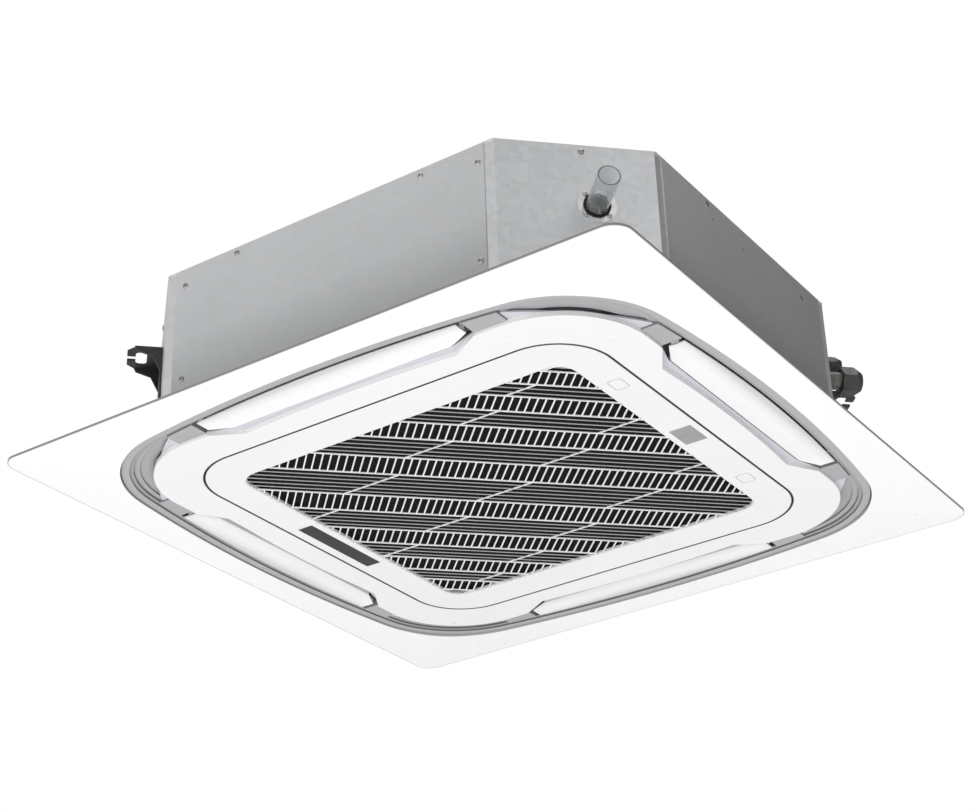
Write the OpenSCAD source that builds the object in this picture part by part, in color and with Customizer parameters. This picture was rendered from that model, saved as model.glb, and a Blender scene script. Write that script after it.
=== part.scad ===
// Ceiling cassette air conditioner: a steel casing above the ceiling, with fan, coil,
// drain pan and pump, and a square face panel below it, with a hinged suction grille
// and four louvres. Heights inside the modules are measured up from the ceiling line,
// the plane of the panel's rim. The origin is the centre of the four hanger slots,
// at the height of the lug plates.

/* [Casing] */
// Width of the square casing
body_w = 840; // [836:1:844]
// Height of the casing
body_h = 205; // [203:1:225]
// Height of the casing's lower edge over the ceiling line
body_base = 20; // [20:0.5:22]
// Thickness of the steel sheet
sheet_t = 1.2; // [1:0.1:1.4]
// Distance from the centre to the face of the drain corner
drain_face = 493; // [490:1:496]
// Distance from the centre to the faces of the two side corners
side_face = 468; // [466:1:471]
// Distance from the centre to the face of the piping corner
pipe_face = 419; // [417:1:421]
// Visible strip of a corner plate beside each wall
seam_in = 15; // [13:1:17]
// Length of a corner plate behind each wall
seam_lap = 25; // [22:1:28]
// Thickness of the foam liner
liner_t = 12; // [11:1:13]
// Height of the drain pan
pan_h = 55; // [54:1:58]
// Height of the lug plates over the ceiling line
hang_h = 170; // [165:1:175]

/* [Hanger lugs] */
// Distance from the centre to a hanger slot
slot_out = 496; // [494:1:498]
// Distance from the slot to the lug's tip
lug_nose = 19; // [18:1:21]
// Width of a lug
lug_w = 62; // [58:1:66]
// Thickness of the lug plate
lug_t = 3; // [2.5:0.5:4]
// Width of the slot's mouth
mouth_w = 11; // [10:0.5:13]
// Size of the slot's pocket along the lug
pocket_l = 15; // [14:0.5:17]
// Size of the slot's pocket across the lug
pocket_w = 34; // [30:1:38]

/* [Drain] */
// Distance of the drain tube from the middle of its corner
drain_side = 23; // [21:1:25]
// Height of the drain tube over the ceiling line
drain_z = 138; // [137:0.5:140]
// Outer radius of the clear drain tube
tube_r = 14; // [13.5:0.5:15]
// Wall of the clear drain tube
tube_wall = 1.5; // [1:0.5:2]
// Length of the drain tube outside the casing
tube_out = 65; // [55:1:75]
// Radius of the drain flange
flange_r = 24.5; // [24:0.5:27]

/* [Refrigerant pipes] */
// Height of the gas pipe over the ceiling line
gas_z = 160; // [157:1:163]
// Outer radius of the gas pipe
gas_r = 9.5; // [8:0.5:9.5]
// Height of the liquid pipe over the ceiling line
liquid_z = 198; // [194:1:199]
// Outer radius of the liquid pipe
liquid_r = 4.8; // [4.2:0.2:5.2]
// Distance of the gas pipe from the middle of its corner
gas_side = 78; // [76:1:80]
// Distance of the liquid pipe from the middle of its corner
liquid_side = 54.4; // [53:0.2:56]

/* [Face panel] */
// Width of the face panel
panel_w = 950; // [930:1:970]
// Corner radius of the face panel
panel_r = 26; // [20:1:32]
// Thickness of the panel's rim
rim_t = 3; // [2.5:0.5:3.5]
// Drop of the face from its rim to the surround
face_drop = 3.5; // [3:0.25:4]
// Wall of the moulded plastic parts
skin_t = 2.5; // [2:0.25:2.75]
// Width of the outlet ring across its outer edge
ring_w = 856; // [854:1:858]
// Radius of the ring's bowed sides
ring_side_r = 2025; // [1900:5:2200]
// Corner radius of the ring's outer edge
ring_r = 158; // [154:1:162]
// Width of each visible band of the ring
band_w = 8; // [7.5:0.25:8.5]
// Width of the surround across its outer edge
surround_w = 742; // [740:1:744]
// Corner radius of the surround
surround_r = 128; // [124:1:132]

/* [Louvres] */
// Length of a louvre
louvre_l = 402; // [398:1:404]
// Half distance between the outer edges of opposite louvres
louvre_out = 403; // [401:0.5:404]
// Half distance between the hinge lines of opposite louvres
louvre_axis = 385; // [384:0.5:386]
// Height of a louvre's hinge line over the ceiling line
louvre_z = 12.9; // [12.7:0.1:13]
// Radius of a louvre pin
louvre_pin_r = 2.5; // [2:0.1:2.6]
// Width of a bridge between louvre and corner
bridge_w = 47; // [44:1:49]

/* [Grille] */
// Width of the suction grille
grille_w = 619.5; // [617:0.5:620]
// Corner radius of the suction grille
grille_r = 82; // [76:1:88]
// Gap between grille and surround
grille_gap = 1.75; // [1.5:0.25:2]
// Width of the latticed opening
opening_w = 507; // [501:1:509]
// Depth of the latticed opening
opening_d = 519; // [513:1:521]
// Corner radius of the latticed opening
opening_r = 30; // [26:1:36]
// Pitch of the lattice slats
slat_pitch = 11; // [10.5:0.25:11.5]
// Width of a lattice slat
slat_w = 1.6; // [1.4:0.1:2]
// Pitch of the ribs along a slat
rib_pitch = 182; // [170:1:190]
// Radius of the grille's hinge pins
hinge_pin_r = 2; // [1.5:0.25:2.25]

/* [Fan] */
// Radius of the fan wheel
fan_r = 225; // [220:1:230]
// Radius of the fan wheel's inlet
inlet_r = 168; // [164:1:172]
// Thickness of the fan's mouldings
fan_t = 2.5; // [2:0.25:3]
// Radius of the motor
motor_r = 65; // [60:1:68]
// Radius of the fan shaft
shaft_r = 6; // [5:0.5:7]

/* [Hidden] */
$fn = 96;

// Shared clearances, and the overrun of every cut
seat_gap = 0.3;
run_gap = 0.05;
press_gap = 0.02;
over = 1;
bow_steps = 20;

// Casing
half = body_w / 2;
inner = half - sheet_t;
lap = inner - sheet_t;
roof_top = body_base + body_h;
roof_under = roof_top - sheet_t;
top_flange = 22;
flange_gap = 1;
faces = [side_face, side_face, drain_face, pipe_face];
pipe_turn = -45;
drain_turn = 225;
back_turns = [45, 135];
liner_top = roof_under - seat_gap;
liner_under = liner_top - liner_t;
pan_top = body_base + pan_h;
liner_out = lap - seat_gap;
liner_in = liner_out - liner_t;

// Screws: places from the seams, and shares of the wall's half length and height
screw_head_r = 4;
screw_head_t = 1.8;
screw_r = 1.9;
screw_slack = 0.2;
near_screw_in = 9;
far_screw_in = 17;
seam_screw_shares = [0.19, 0.872];
left_top_screw_shares = [[-0.294, 0.956], [0.404, 0.949]];
front_top_screw_shares = [[-0.361, 0.953], [0.247, 0.878]];
plain_top_screw_shares = [[-0.3, 0.953], [0.25, 0.953]];
spare_hole_shares = [[-0.537, 0.896], [-0.33, 0.874], [-0.14, 0.852]];
spare_hole_r = 1.6;
corner_screw_side = 7.4;
corner_screw_down = 9.5;

// Panel support frame, seal and the upper edge of the panel's walls
frame_top = body_base - seat_gap;
seal_t = 2;
frame_t = 1.5;
seal_z = frame_top - seal_t;
duct_top = seal_z - frame_t;
frame_hole = 320;
frame_hole_r = 80;

// Outlet ring
ring_half = ring_w / 2;
ring_gap = 1.5;
band_a_z = 0.5;
band_b_z = 3;
ring_edge = 2 * band_w + ring_gap;
upstand_t = 2.5;

// Louvres, bridges and duct edges
louvre_half = louvre_l / 2;
louvre_t = 2.5;
louvre_face_z = 0.5;
louvre_lip_in = 24.2;
louvre_lip_r = norm([louvre_lip_in, louvre_z - louvre_face_z]);
louvre_lip_t = 2;
louvre_cut_x = 31.5;
louvre_cut_y = 15.5;
louvre_lip_h = 8;
louvre_rib_t = 3;
louvre_foot = 2;
louvre_boss_r = 3.8;
louvre_side_gap = 8;
bridge_in = louvre_half + louvre_side_gap;
bridge_out = bridge_in + bridge_w;
bridge_wall = 2.5;
bearing_l = 5;
ledge_z = 3;
ledge_edge = louvre_axis - louvre_lip_r - seat_gap;
ledge_in = 336;
ledge_in_r = 95;
ledge_ring_r = 466;
ledge_half = 387;
ledge_slant = 11;
ledge_side = 3;
duct_wall = 352;
duct_wall_r = 108;
slot_in = duct_wall;
corner_roof_z = 8;
corner_step_z = 5.5;
corner_step_w = 8;
motor_body_r = louvre_z - band_a_z - skin_t - seat_gap;
motor_ear = 12;
motor_ear_w = 8;
motor_ear_t = 1.5;
motor_ear_off = -1;
motor_body_l = 17;

// Surround
surround_half = surround_w / 2;
grille_half = grille_w / 2;
border_lean = 2;
border_mid = (opening_d / 2 + grille_half) / 2 - border_lean;
surround_in = grille_half + grille_gap;
surround_in_r = grille_r + grille_gap;
face_z = -face_drop;
skin_top = face_z + skin_t;
lip_w = 2;
notch_top_x = bridge_in - over;
notch_x = 163;
notch_depth = 26;
notch_mid = 18.6;
notch_round = 12;

// Grille hinge: two arms that slide down in their guides as the grille swings open
hinge_in = 19.75;
hinge_y = grille_half - hinge_in;
hinge_z = 2.5;
hinge_x = 120;
hinge_drop = 14.84;
arm_w = 8;
arm_r = 3;
arm_head_t = 2;
arm_guide_wall = 1.5;
arm_guide_w = arm_w + 2 * (seat_gap + arm_guide_wall);
arm_guide_y = hinge_y - arm_r - seat_gap - arm_guide_wall;
arm_guide_z = duct_top + over;
arm_guide_top = arm_guide_z + 1.5 * arm_w;
ear_r = 5;
ear_t = 5;
ear_gap = 0.5;
edge_flange_t = 2;
edge_flange_z = 12;

// Lip of the lattice behind the opening, and the filter that lies on it
lattice_t = 2;
lattice_lip = 5;
filter_z = skin_top + lattice_t + 2 * seat_gap;
filter_w = opening_w + lattice_lip;
filter_d = opening_d + lattice_lip;

// Latches: the places of the buttons and the working parts behind them
latch_x = 164.5;
latch_y = -border_mid;
latch_w = 25;
latch_d = 19.5;
latch_round = 4;
latch_travel = 4;
tongue_w = 14;
tongue_t = 3;
tongue_z = 4.8;
tongue_back = border_mid - filter_d / 2 - latch_travel - 2 * seat_gap;
wedge_w = 8;
wedge_t = 6;
guide_t = 2;
guide_h = tongue_z + tongue_t + seat_gap - skin_top;

// Display window and badge plate
display_w = 159;
display_d = 24;
display_y = border_mid;
display_round = 2;
display_lip = 3;
display_lip_t = 1;
lamp_r = 2.5;
lamp_h = 3;
lamp_pitch = 19.2;
display_edge = 2;
badge_w = 46;
badge_d = 32;
badge_x = 7;
badge_y = -border_mid - over;
badge_t = 1;
badge_proud = 0.2;

// Lattice: widths of the bands in slat pitches, from the middle outwards
line_band_counts = [6, 5, 4, 3, 2];
bar_band_w = 50;
bar_band_step = 5;
bars_per_rib = 17;
bar_w = 1.6;
lattice_recess = 0.5;
lattice_rim = 1.6;
filter_border = 14;
filter_t = 3.2;
mesh_t = 0.8;

// Drain pan, bell mouth and coil
well_half = 305;
well_r = 70;
pan_slab = 13;
trough_in = 268;
trough_out = 325;
trough_d = 9;
throat_hole_r = 200;
slot_out_y = liner_in;
slot_skin = 10;
bell_t = 2.2;
bell_clear = 5;
bell_half = well_half - bell_clear;
throat_r = 160;
throat_rise = 9;
bell_round_r = 22;
throat_top = pan_top - pan_slab - seat_gap - bell_t + bell_round_r + throat_rise;
coil_out = 318;
coil_in = 275;
coil_r = 100;
coil_base = pan_top - trough_d + seat_gap;
coil_top = liner_under - seat_gap;
coil_end = 190;
end_plate_t = 1.5;
coil_rows = 6;
coil_pipe_r = 3.6;
header_back = 16;

// Fan, motor and bracket
fan_shroud_gap = 3;
fan_shroud_z = pan_top + fan_shroud_gap;
fan_shroud_rise = 24;
fan_back_gap = 16.5;
fan_back_z = liner_under - fan_back_gap;
bracket_t = 3;
bracket_reach = 215;
bracket_w = 60;
bracket_z = liner_under - seat_gap - bracket_t;
motor_h = 71.5;
motor_edge = 4;
motor_z = liner_under - motor_h;
hub_gap = 9;
hub_r = 75;
hub_cone_r = 128;
shaft_drop = 42;
shaft_z = motor_z - shaft_drop;
hub_boss_r = 18;
hub_boss_h = 22;
nut_h = 8;
blade_count = 7;
blade_in_r = 126;
blade_arc_r = 130;

// Control box
box_x0 = 226;
box_x1 = 298;
box_half = 150;
box_z0 = 25;
box_t = 1.2;
lid_lip = 5;
board_t = 1.6;
board_z = 38;
terminal_l = 60;

// Pump and float
pump_out = 440;
sump_r = 29;
sump_d = 15;
pump_cup_r = 24;
pump_cup_lift = 12;
pump_cup_z = pan_top + pump_cup_lift;
pump_cup_h = 18;
pump_wall = 2;
pump_motor_h = 34;
pump_shaft_r = 2.5;
pump_foot_r = 7;
riser_r = 7;
riser_bore_r = 5;
elbow_r = 12;
float_side = -48;
float_in = 424;
float_r = 12;
float_h = 14;
float_rod_r = 4;
float_travel = 8;
flange_t = 2;
gasket_t = 2;
gasket_r = 17;
flange_screw_r = 20.4;
tube_in = 8;
tube_neck = 0.5;

// Fittings and cable entry
socket_d = 12;
gas_nut_af = 36;
gas_nut_l = 30;
liquid_nut_af = 22;
liquid_nut_l = 24;
union_out = 65;
union_wall = 3;
union_less = 4;
nut_slack = 0.4;
nut_mouth = 4;
nut_cone_share = 0.62;
pipe_wall = 1;
liquid_union_out = 51;
grommet_t = 4;
cable_y = 214;
cable_z = 38;
cable_r = 8;
grommet_lip = 2;
channel_half = 6;

// Panel bolts
bolt_at = 300;
bolt_r = 3;
bolt_l = 28;
bolt_head_r = 6;
bolt_head_h = 4;

module from_rim() translate([0, 0, -hang_h]) children();

module slab(z0, z1) translate([0, 0, z0]) linear_extrude(z1 - z0) children();

module sides() for (turn = [0, 90, 180, 270]) rotate(turn) children();

module mirrored() for (side = [0, 1]) mirror([side, 0, 0]) children();

module round_rect(w, d, r) {
    square([w, d - 2 * r], center = true);
    square([w - 2 * r, d], center = true);
    for (x = [-1, 1], y = [-1, 1])
        translate([x * (w / 2 - r), y * (d / 2 - r)]) circle(r);
}

module round_square(half_w, r) round_rect(2 * half_w, 2 * half_w, r);

// A square whose sides bow outwards on a large radius and whose corners are tangent arcs
module bowed_square(half_w, side_r, corner_r) {
    back = side_r - half_w;
    mid = (sqrt(2 * pow(side_r - corner_r, 2) - back * back) - back) / 2;
    meet = atan2(mid, mid + back);
    quarter = [
        for (i = [0:bow_steps - 1])
            [-back, 0] + side_r * unit(meet * (2 * i / bow_steps - 1)),
        for (i = [0:bow_steps - 1])
            [mid, mid] + corner_r * unit(meet + (90 - 2 * meet) * i / bow_steps)
    ];
    polygon([for (turn = [0:90:270], p = quarter) p.x * unit(turn) + p.y * unit(turn + 90)]);
}

function unit(angle) = [cos(angle), sin(angle)];

// Points of a path whose corners are rounded, each corner as an arc
function corner_arc(a, b, c, r, steps) =
    let (
        u = (a - b) / norm(a - b),
        v = (c - b) / norm(c - b),
        half_turn = acos(u * v) / 2,
        o = b + (u + v) / norm(u + v) * r / sin(half_turn),
        p = b + u * r / tan(half_turn) - o,
        q = b + v * r / tan(half_turn) - o,
        start = atan2(p.y, p.x),
        turn = atan2(cross(p, q), p * q)
    )
    [for (i = [0:steps]) o + r * [cos(start + turn * i / steps), sin(start + turn * i / steps)]];

function rounded(points, r, steps = 6) = [
    for (i = [0:len(points) - 1])
        each corner_arc(
            points[(i + len(points) - 1) % len(points)], points[i],
            points[(i + 1) % len(points)], r, steps
        )
];

// The casing's plan, a square with four cut corners: drawn in by inset on its walls,
// and by face_inset on its corner faces
module octagon(inset, face_inset) {
    h = half - inset;
    v = [for (face = faces) (face - face_inset) * sqrt(2) - h];
    polygon([
        [h, -v[3]], [h, v[0]], [v[0], h], [-v[1], h],
        [-h, v[1]], [-h, -v[2]], [-v[2], -h], [v[3], -h]
    ]);
}

// Distance from a wall's middle to the bend beside it
function bend(face) = face * sqrt(2) - inner;

function wall_end(face) = bend(face) - seam_in;

function wall_lo(side) = wall_end(faces[(side + 3) % 4]);

function wall_hi(side) = wall_end(faces[side]);

module wall_screws(side, top_shares) {
    rotate(90 * side) translate([half, 0, body_base]) {
        if (side != 3) for (share = seam_screw_shares) {
            for (place = [
                wall_hi(side) - (side == 2 ? near_screw_in : far_screw_in),
                -wall_lo(side) + far_screw_in
            ]) translate([0, place, share * body_h]) rotate([0, 90, 0]) children();
        }
        for (share = top_shares)
            translate([0, share[0] * half, share[1] * body_h]) rotate([0, 90, 0]) children();
    }
}

module corner_screws(turn, face) {
    rotate(turn) translate([face, corner_screw_side, roof_top - corner_screw_down])
        rotate([0, 90, 0]) children();
}

module screw_places() {
    wall_screws(0, plain_top_screw_shares) children();
    wall_screws(1, plain_top_screw_shares) children();
    wall_screws(2, left_top_screw_shares) children();
    wall_screws(3, front_top_screw_shares) children();
    corner_screws(drain_turn, drain_face) children();
    corner_screws(pipe_turn, pipe_face) children();
    for (turn = back_turns) corner_screws(turn, side_face) children();
}

module screw_holes() screw_places()
    translate([0, 0, -2 * sheet_t - over]) cylinder(r = screw_r + screw_slack, h = 2 * (sheet_t + over));

module screw() {
    difference() {
        rotate_extrude() polygon([
            [0, -2 * sheet_t], [screw_r, -2 * sheet_t], [screw_r, 0], [screw_head_r, 0],
            [screw_head_r, screw_head_t / 2], [screw_head_r / 2, screw_head_t], [0, screw_head_t]
        ]);
        for (turn = [0, 90]) rotate(turn)
            translate([-screw_head_r / 2, -screw_slack, screw_head_t / 2])
                cube([screw_head_r, 2 * screw_slack, screw_head_t]);
    }
}

module casing_screws() color("gainsboro") from_rim() {
    screw_places() screw();
    rotate(drain_turn) translate([drain_face + flange_t, drain_side, drain_z])
        rotate([0, 90, 0]) flange_places() flange_screw();
}

module flange_places() {
    for (turn = [45, 135, 225, 315]) rotate(turn) translate([flange_screw_r, 0, 0]) children();
}

module flange_screw() {
    head = 0.75 * screw_head_r;
    rotate_extrude() polygon([
        [0, -flange_t - sheet_t], [0.6 * head, -flange_t - sheet_t], [0.6 * head, 0],
        [head, 0], [head, screw_head_t / 2], [head / 2, screw_head_t], [0, screw_head_t]
    ]);
}

module wall(side) {
    from_rim() difference() {
        rotate(90 * side) translate([inner, -wall_lo(side), body_base])
            cube([sheet_t, wall_lo(side) + wall_hi(side), roof_under - body_base]);
        screw_holes();
        if (side == 3) spare_holes();
        if (side == 0) cable_hole(cable_r + grommet_t);
    }
}

module spare_holes() {
    for (share = spare_hole_shares)
        translate([share[0] * half, -inner + over, body_base + share[1] * body_h])
            rotate([90, 0, 0]) cylinder(r = spare_hole_r, h = sheet_t + 2 * over);
}

module wall_right() color("darkgray") wall(0);

module wall_back() color("darkgray") wall(1);

module wall_left() color("silver") wall(2);

module wall_front() color("dimgray") wall(3);

module casing_top() {
    color("silver") from_rim() {
        slab(roof_under, roof_top) octagon(0, 0);
        difference() {
            for (side = [0:3]) rotate(90 * side) {
                lo = wall_lo(side) - seam_lap - flange_gap;
                hi = wall_hi(side) - seam_lap - flange_gap;
                translate([lap, -lo, roof_under - top_flange]) cube([sheet_t, lo + hi, top_flange]);
            }
            screw_holes();
        }
    }
}

// A bent corner plate, from the lap behind one wall to the lap behind the next
module corner_plate(turn, face) {
    reach = wall_end(face) - seam_lap;
    difference() {
        slab(body_base, roof_under) intersection() {
            difference() {
                octagon(sheet_t, 0);
                octagon(2 * sheet_t, sheet_t);
            }
            rotate(turn - pipe_turn - 90) translate([reach, reach]) square(half);
        }
        screw_holes();
    }
}

module drain_corner_plate() color("silver") from_rim() difference() {
    corner_plate(drain_turn, drain_face);
    rotate(drain_turn) translate([drain_face - 2 * sheet_t - over, drain_side, drain_z]) rotate([0, 90, 0]) {
        cylinder(r = gasket_r + seat_gap, h = 3 * sheet_t + 2 * over);
        flange_places() cylinder(r = 0.45 * screw_head_r + screw_slack, h = 3 * sheet_t + 2 * over);
    }
}

module side_corner_plates() color("gray") from_rim() difference() {
    for (turn = back_turns) corner_plate(turn, side_face);
    cable_hole(cable_r + grommet_t);
}

module piping_corner_plate() color("dimgray") from_rim() difference() {
    corner_plate(pipe_turn, pipe_face);
    rotate(pipe_turn) pipe_cuts(grommet_t);
}

module pipe_cuts(extra) {
    x0 = pipe_face - liner_t - 4 * sheet_t;
    l = liner_t + 6 * sheet_t;
    translate([x0, -gas_side, gas_z]) rotate([0, 90, 0]) cylinder(r = gas_r + extra, h = l);
    translate([x0, -liquid_side, liquid_z]) rotate([0, 90, 0]) cylinder(r = liquid_r + extra, h = l);
}

module cable_hole(r) {
    translate([lap - over, cable_y, cable_z]) rotate([0, 90, 0]) cylinder(r = r, h = 2 * (sheet_t + over));
}

module foam_liner() {
    color("dimgray") from_rim() difference() {
        slab(pan_top + seat_gap, liner_top) casing_inside(0);
        slab(pan_top, liner_under) casing_inside(liner_t);
        screw_holes();
        rotate(pipe_turn) pipe_cuts(grommet_t + seat_gap);
        rotate(drain_turn) translate([pump_out, drain_side, drain_z])
            rotate([0, 90, 0]) cylinder(r = gasket_r + 2 * seat_gap, h = drain_face - pump_out);
        rotate(drain_turn) translate([drain_face - liner_t, drain_side, drain_z])
            rotate([0, 90, 0]) flange_places() cylinder(r = screw_head_r, h = liner_t);
    }
}

// What fits inside the sheets, drawn in by a further distance
module casing_inside(inset) octagon(half - liner_out + inset, sheet_t + seat_gap + inset);

module outlet_slots(extra) {
    intersection() {
        sides() translate([slot_in - extra, -louvre_half - extra])
            square([slot_out_y - slot_in + 2 * extra, louvre_l + 2 * extra]);
        casing_inside(slot_skin - extra);
    }
}

module drain_pan() {
    color("whitesmoke") from_rim() difference() {
        slab(body_base, pan_top) casing_inside(0);
        slab(body_base - over, pan_top - pan_slab) round_square(well_half, well_r);
        slab(body_base, pan_top + over) circle(throat_hole_r);
        slab(pan_top - trough_d, pan_top + over) difference() {
            round_square(trough_out, coil_r + trough_out - coil_out);
            round_square(trough_in, coil_r + trough_in - coil_out);
        }
        slab(body_base - over, pan_top + over) outlet_slots(0);
        rotate(drain_turn) translate([pump_out, 0, pan_top - sump_d]) cylinder(r = sump_r, h = sump_d + over);
        translate([well_half - over, cable_y - channel_half, cable_z - channel_half])
            cube([half - well_half, 2 * channel_half, 2 * channel_half]);
        slab(body_base - over, arm_guide_top + seat_gap) for (x = [-1, 1])
            translate([x * hinge_x, well_half]) square([arm_guide_w + over, 4 * arm_w], center = true);
        motor_pockets(seat_gap);
        bolt_places() cylinder(r = bolt_r + screw_slack, h = body_base + bolt_l);
    }
}

module bell_mouth() {
    z0 = pan_top - pan_slab - seat_gap - bell_t;
    c = throat_r + bell_round_r;
    color("white") from_rim() union() {
        slab(z0, z0 + bell_t) difference() {
            round_square(bell_half, well_r - bell_clear);
            circle(c);
        }
        translate([0, 0, z0]) rotate_extrude() {
            translate([c, 0]) intersection() {
                translate([0, bell_round_r]) difference() {
                    circle(bell_round_r);
                    circle(bell_round_r - bell_t);
                }
                translate([-bell_round_r, 0]) square(bell_round_r);
            }
            translate([throat_r, bell_round_r]) square([bell_t, throat_rise]);
        }
    }
}

module coil_plan(out, in) difference() {
    round_square(out, coil_r + out - coil_out);
    round_square(in, coil_r + in - coil_out);
    translate([coil_end, -2 * half - coil_end]) square(2 * half);
}

module coil_fins() color("lightsteelblue") from_rim() slab(coil_base, coil_top) difference() {
    coil_plan(coil_out, coil_in);
    translate([coil_end - end_plate_t - seat_gap, -half]) square([half, half + -coil_end + end_plate_t + seat_gap]);
}

module coil_end_plates() color("silver") from_rim() slab(coil_base, coil_top) {
    translate([coil_end - end_plate_t, -coil_out]) square([end_plate_t, coil_out - coil_in]);
    translate([coil_in, -coil_end]) square([coil_out - coil_in, end_plate_t]);
}

// Two columns of bends on each end of the coil, and the two headers at the piping corner
module coil_pipes() {
    pitch = (coil_top - coil_base) / (2 * coil_rows + 1);
    column = (coil_out - coil_in) / 3;
    color("peru") from_rim() {
        for (i = [0:coil_rows - 1], j = [1, 2]) {
            z = coil_base + pitch * (2 * i + 1.5);
            translate([coil_end, -coil_in - j * column, z]) rotate([90, 0, 0]) return_bend(pitch / 2);
            translate([coil_in + j * column, -coil_end, z]) rotate([90, 0, -90]) return_bend(pitch / 2);
        }
        header(gas_side, gas_z, gas_r, union_out - socket_d);
        header(liquid_side, liquid_z, liquid_r, liquid_union_out - socket_d);
    }
}

module return_bend(r) rotate([0, 0, -90]) rotate_extrude(angle = 180) translate([r, 0]) circle(coil_pipe_r / 1.6);

// One pipe through the piping corner, with its upright leg down to the coil's foot
module header(side, z, r, reach) {
    out = pipe_face - liner_t - header_back - 2 * r;
    rotate(pipe_turn) translate([out, -side, z]) {
        translate([2 * r, 0, 0]) rotate([0, 90, 0])
            tube(r, r - pipe_wall, pipe_face + reach - out - 2 * r);
        translate([2 * r, 0, -2 * r]) rotate([90, 0, 180]) rotate_extrude(angle = 90)
            translate([2 * r, 0]) ring(r, r - pipe_wall);
        translate([0, 0, coil_base - z + r]) tube(r, r - pipe_wall, z - coil_base - 3 * r);
    }
}

module ring(out, in) difference() {
    circle(out);
    circle(in);
}

module tube(out, in, h) linear_extrude(h) ring(out, in);

module fan_motor() {
    color("darkslategray") from_rim() translate([0, 0, motor_z]) difference() {
        rotate_extrude() polygon([
            [0, 0], [motor_r / 3, 0], [motor_r / 3, hub_gap / 2], [motor_r - motor_edge, hub_gap / 2],
            [motor_r, hub_gap], [motor_r, bracket_z - motor_z - hub_gap],
            [motor_r - motor_edge, bracket_z - motor_z], [0, bracket_z - motor_z]
        ]);
        translate([0, 0, -over]) cylinder(r = shaft_r + run_gap, h = bracket_z - motor_z - hub_gap);
    }
}

module motor_bracket() {
    color("silver") from_rim() slab(bracket_z, bracket_z + bracket_t) difference() {
        union() {
            for (turn = [45, 135]) rotate(turn) square([2 * bracket_reach, bracket_w], center = true);
            circle(motor_r + bracket_w / 4);
        }
        for (turn = [45:90:315]) rotate(turn) translate([bracket_reach - bracket_w / 4, 0]) circle(bolt_r);
    }
}

function blade_low() = fan_shroud_z + fan_t / 2;

// Half section of the fan's hub, cone and back plate
function fan_back_outline(t) = [
    [shaft_r + press_gap, motor_z - hub_gap - t], [hub_r, motor_z - hub_gap - t],
    [hub_cone_r, fan_back_z], [fan_r, fan_back_z], [fan_r, fan_back_z + t],
    [hub_cone_r - t, fan_back_z + t], [hub_r - t, motor_z - hub_gap],
    [shaft_r + press_gap, motor_z - hub_gap]
];

// The shroud's section: steep at the inlet and flat at the rim
function shroud_point(k, lift) = [
    inlet_r + (fan_r - inlet_r) * k,
    fan_shroud_z + lift + fan_shroud_rise * pow(sin(90 * k), 0.7)
];

module fan_wheel() {
    steps = 8;
    color("whitesmoke") from_rim() union() {
        rotate_extrude() polygon(fan_back_outline(fan_t));
        rotate_extrude() polygon([
            for (i = [0:steps]) shroud_point(i / steps, 0),
            for (i = [steps:-1:0]) shroud_point(i / steps, fan_t)
        ]);
        translate([0, 0, motor_z - hub_gap - fan_t - hub_boss_h / 2])
            linear_extrude(hub_boss_h / 2 + fan_t / 2) ring(hub_boss_r, shaft_r + press_gap);
        intersection() {
            slab(blade_low(), fan_back_z + fan_t / 2)
                for (i = [0:blade_count - 1]) rotate(360 * i / blade_count) blade_plan();
            rotate_extrude() polygon([
                [hub_cone_r, fan_back_z + fan_t / 2], [fan_r, fan_back_z + fan_t / 2],
                for (i = [steps:-1:1]) shroud_point(i / steps, fan_t / 2),
                [throat_r + bell_t, throat_top + fan_t], [hub_r, throat_top + fan_t],
                [hub_r, motor_z - hub_gap - fan_t]
            ]);
        }
    }
}

module blade_plan() {
    intersection() {
        translate([blade_in_r, blade_arc_r]) ring(blade_arc_r, blade_arc_r - fan_t);
        difference() {
            circle(fan_r - fan_t);
            circle(blade_in_r);
        }
        translate([blade_in_r - fan_t, -fan_t]) square(blade_arc_r - fan_t);
    }
}

module fan_shaft() color("lightgray") from_rim() {
    translate([0, 0, shaft_z]) cylinder(r = shaft_r, h = bracket_z - hub_gap - 2 * over - shaft_z);
}

module fan_nut() color("goldenrod") from_rim() difference() {
    translate([0, 0, motor_z - hub_gap - fan_t - hub_boss_h / 2 - nut_h])
        cylinder(r = 2 * shaft_r, h = nut_h, $fn = 6);
    translate([0, 0, shaft_z - nut_h]) cylinder(r = shaft_r + press_gap, h = 3 * nut_h + hub_boss_h);
}

module box_plan(inset) {
    translate([box_x0 + inset, -box_half + inset])
        square([box_x1 - box_x0 - 2 * inset, 2 * (box_half - inset)]);
}

box_top = pan_top - pan_slab - seat_gap - bell_t;

module control_box() color("silver") from_rim() {
    difference() {
        slab(box_z0 + box_t, box_top) box_plan(0);
        slab(box_z0, box_top - box_t) box_plan(box_t);
        translate([box_x1 - 2 * box_t, box_half - 4 * channel_half, cable_z - channel_half])
            cube([3 * box_t, 2 * channel_half, 2 * channel_half]);
    }
}

module control_box_lid() color("gainsboro") from_rim() {
    slab(box_z0, box_z0 + box_t) box_plan(0);
    slab(box_z0 + box_t, box_z0 + box_t + lid_lip) difference() {
        box_plan(box_t + seat_gap);
        box_plan(2 * box_t + seat_gap);
    }
}

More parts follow.
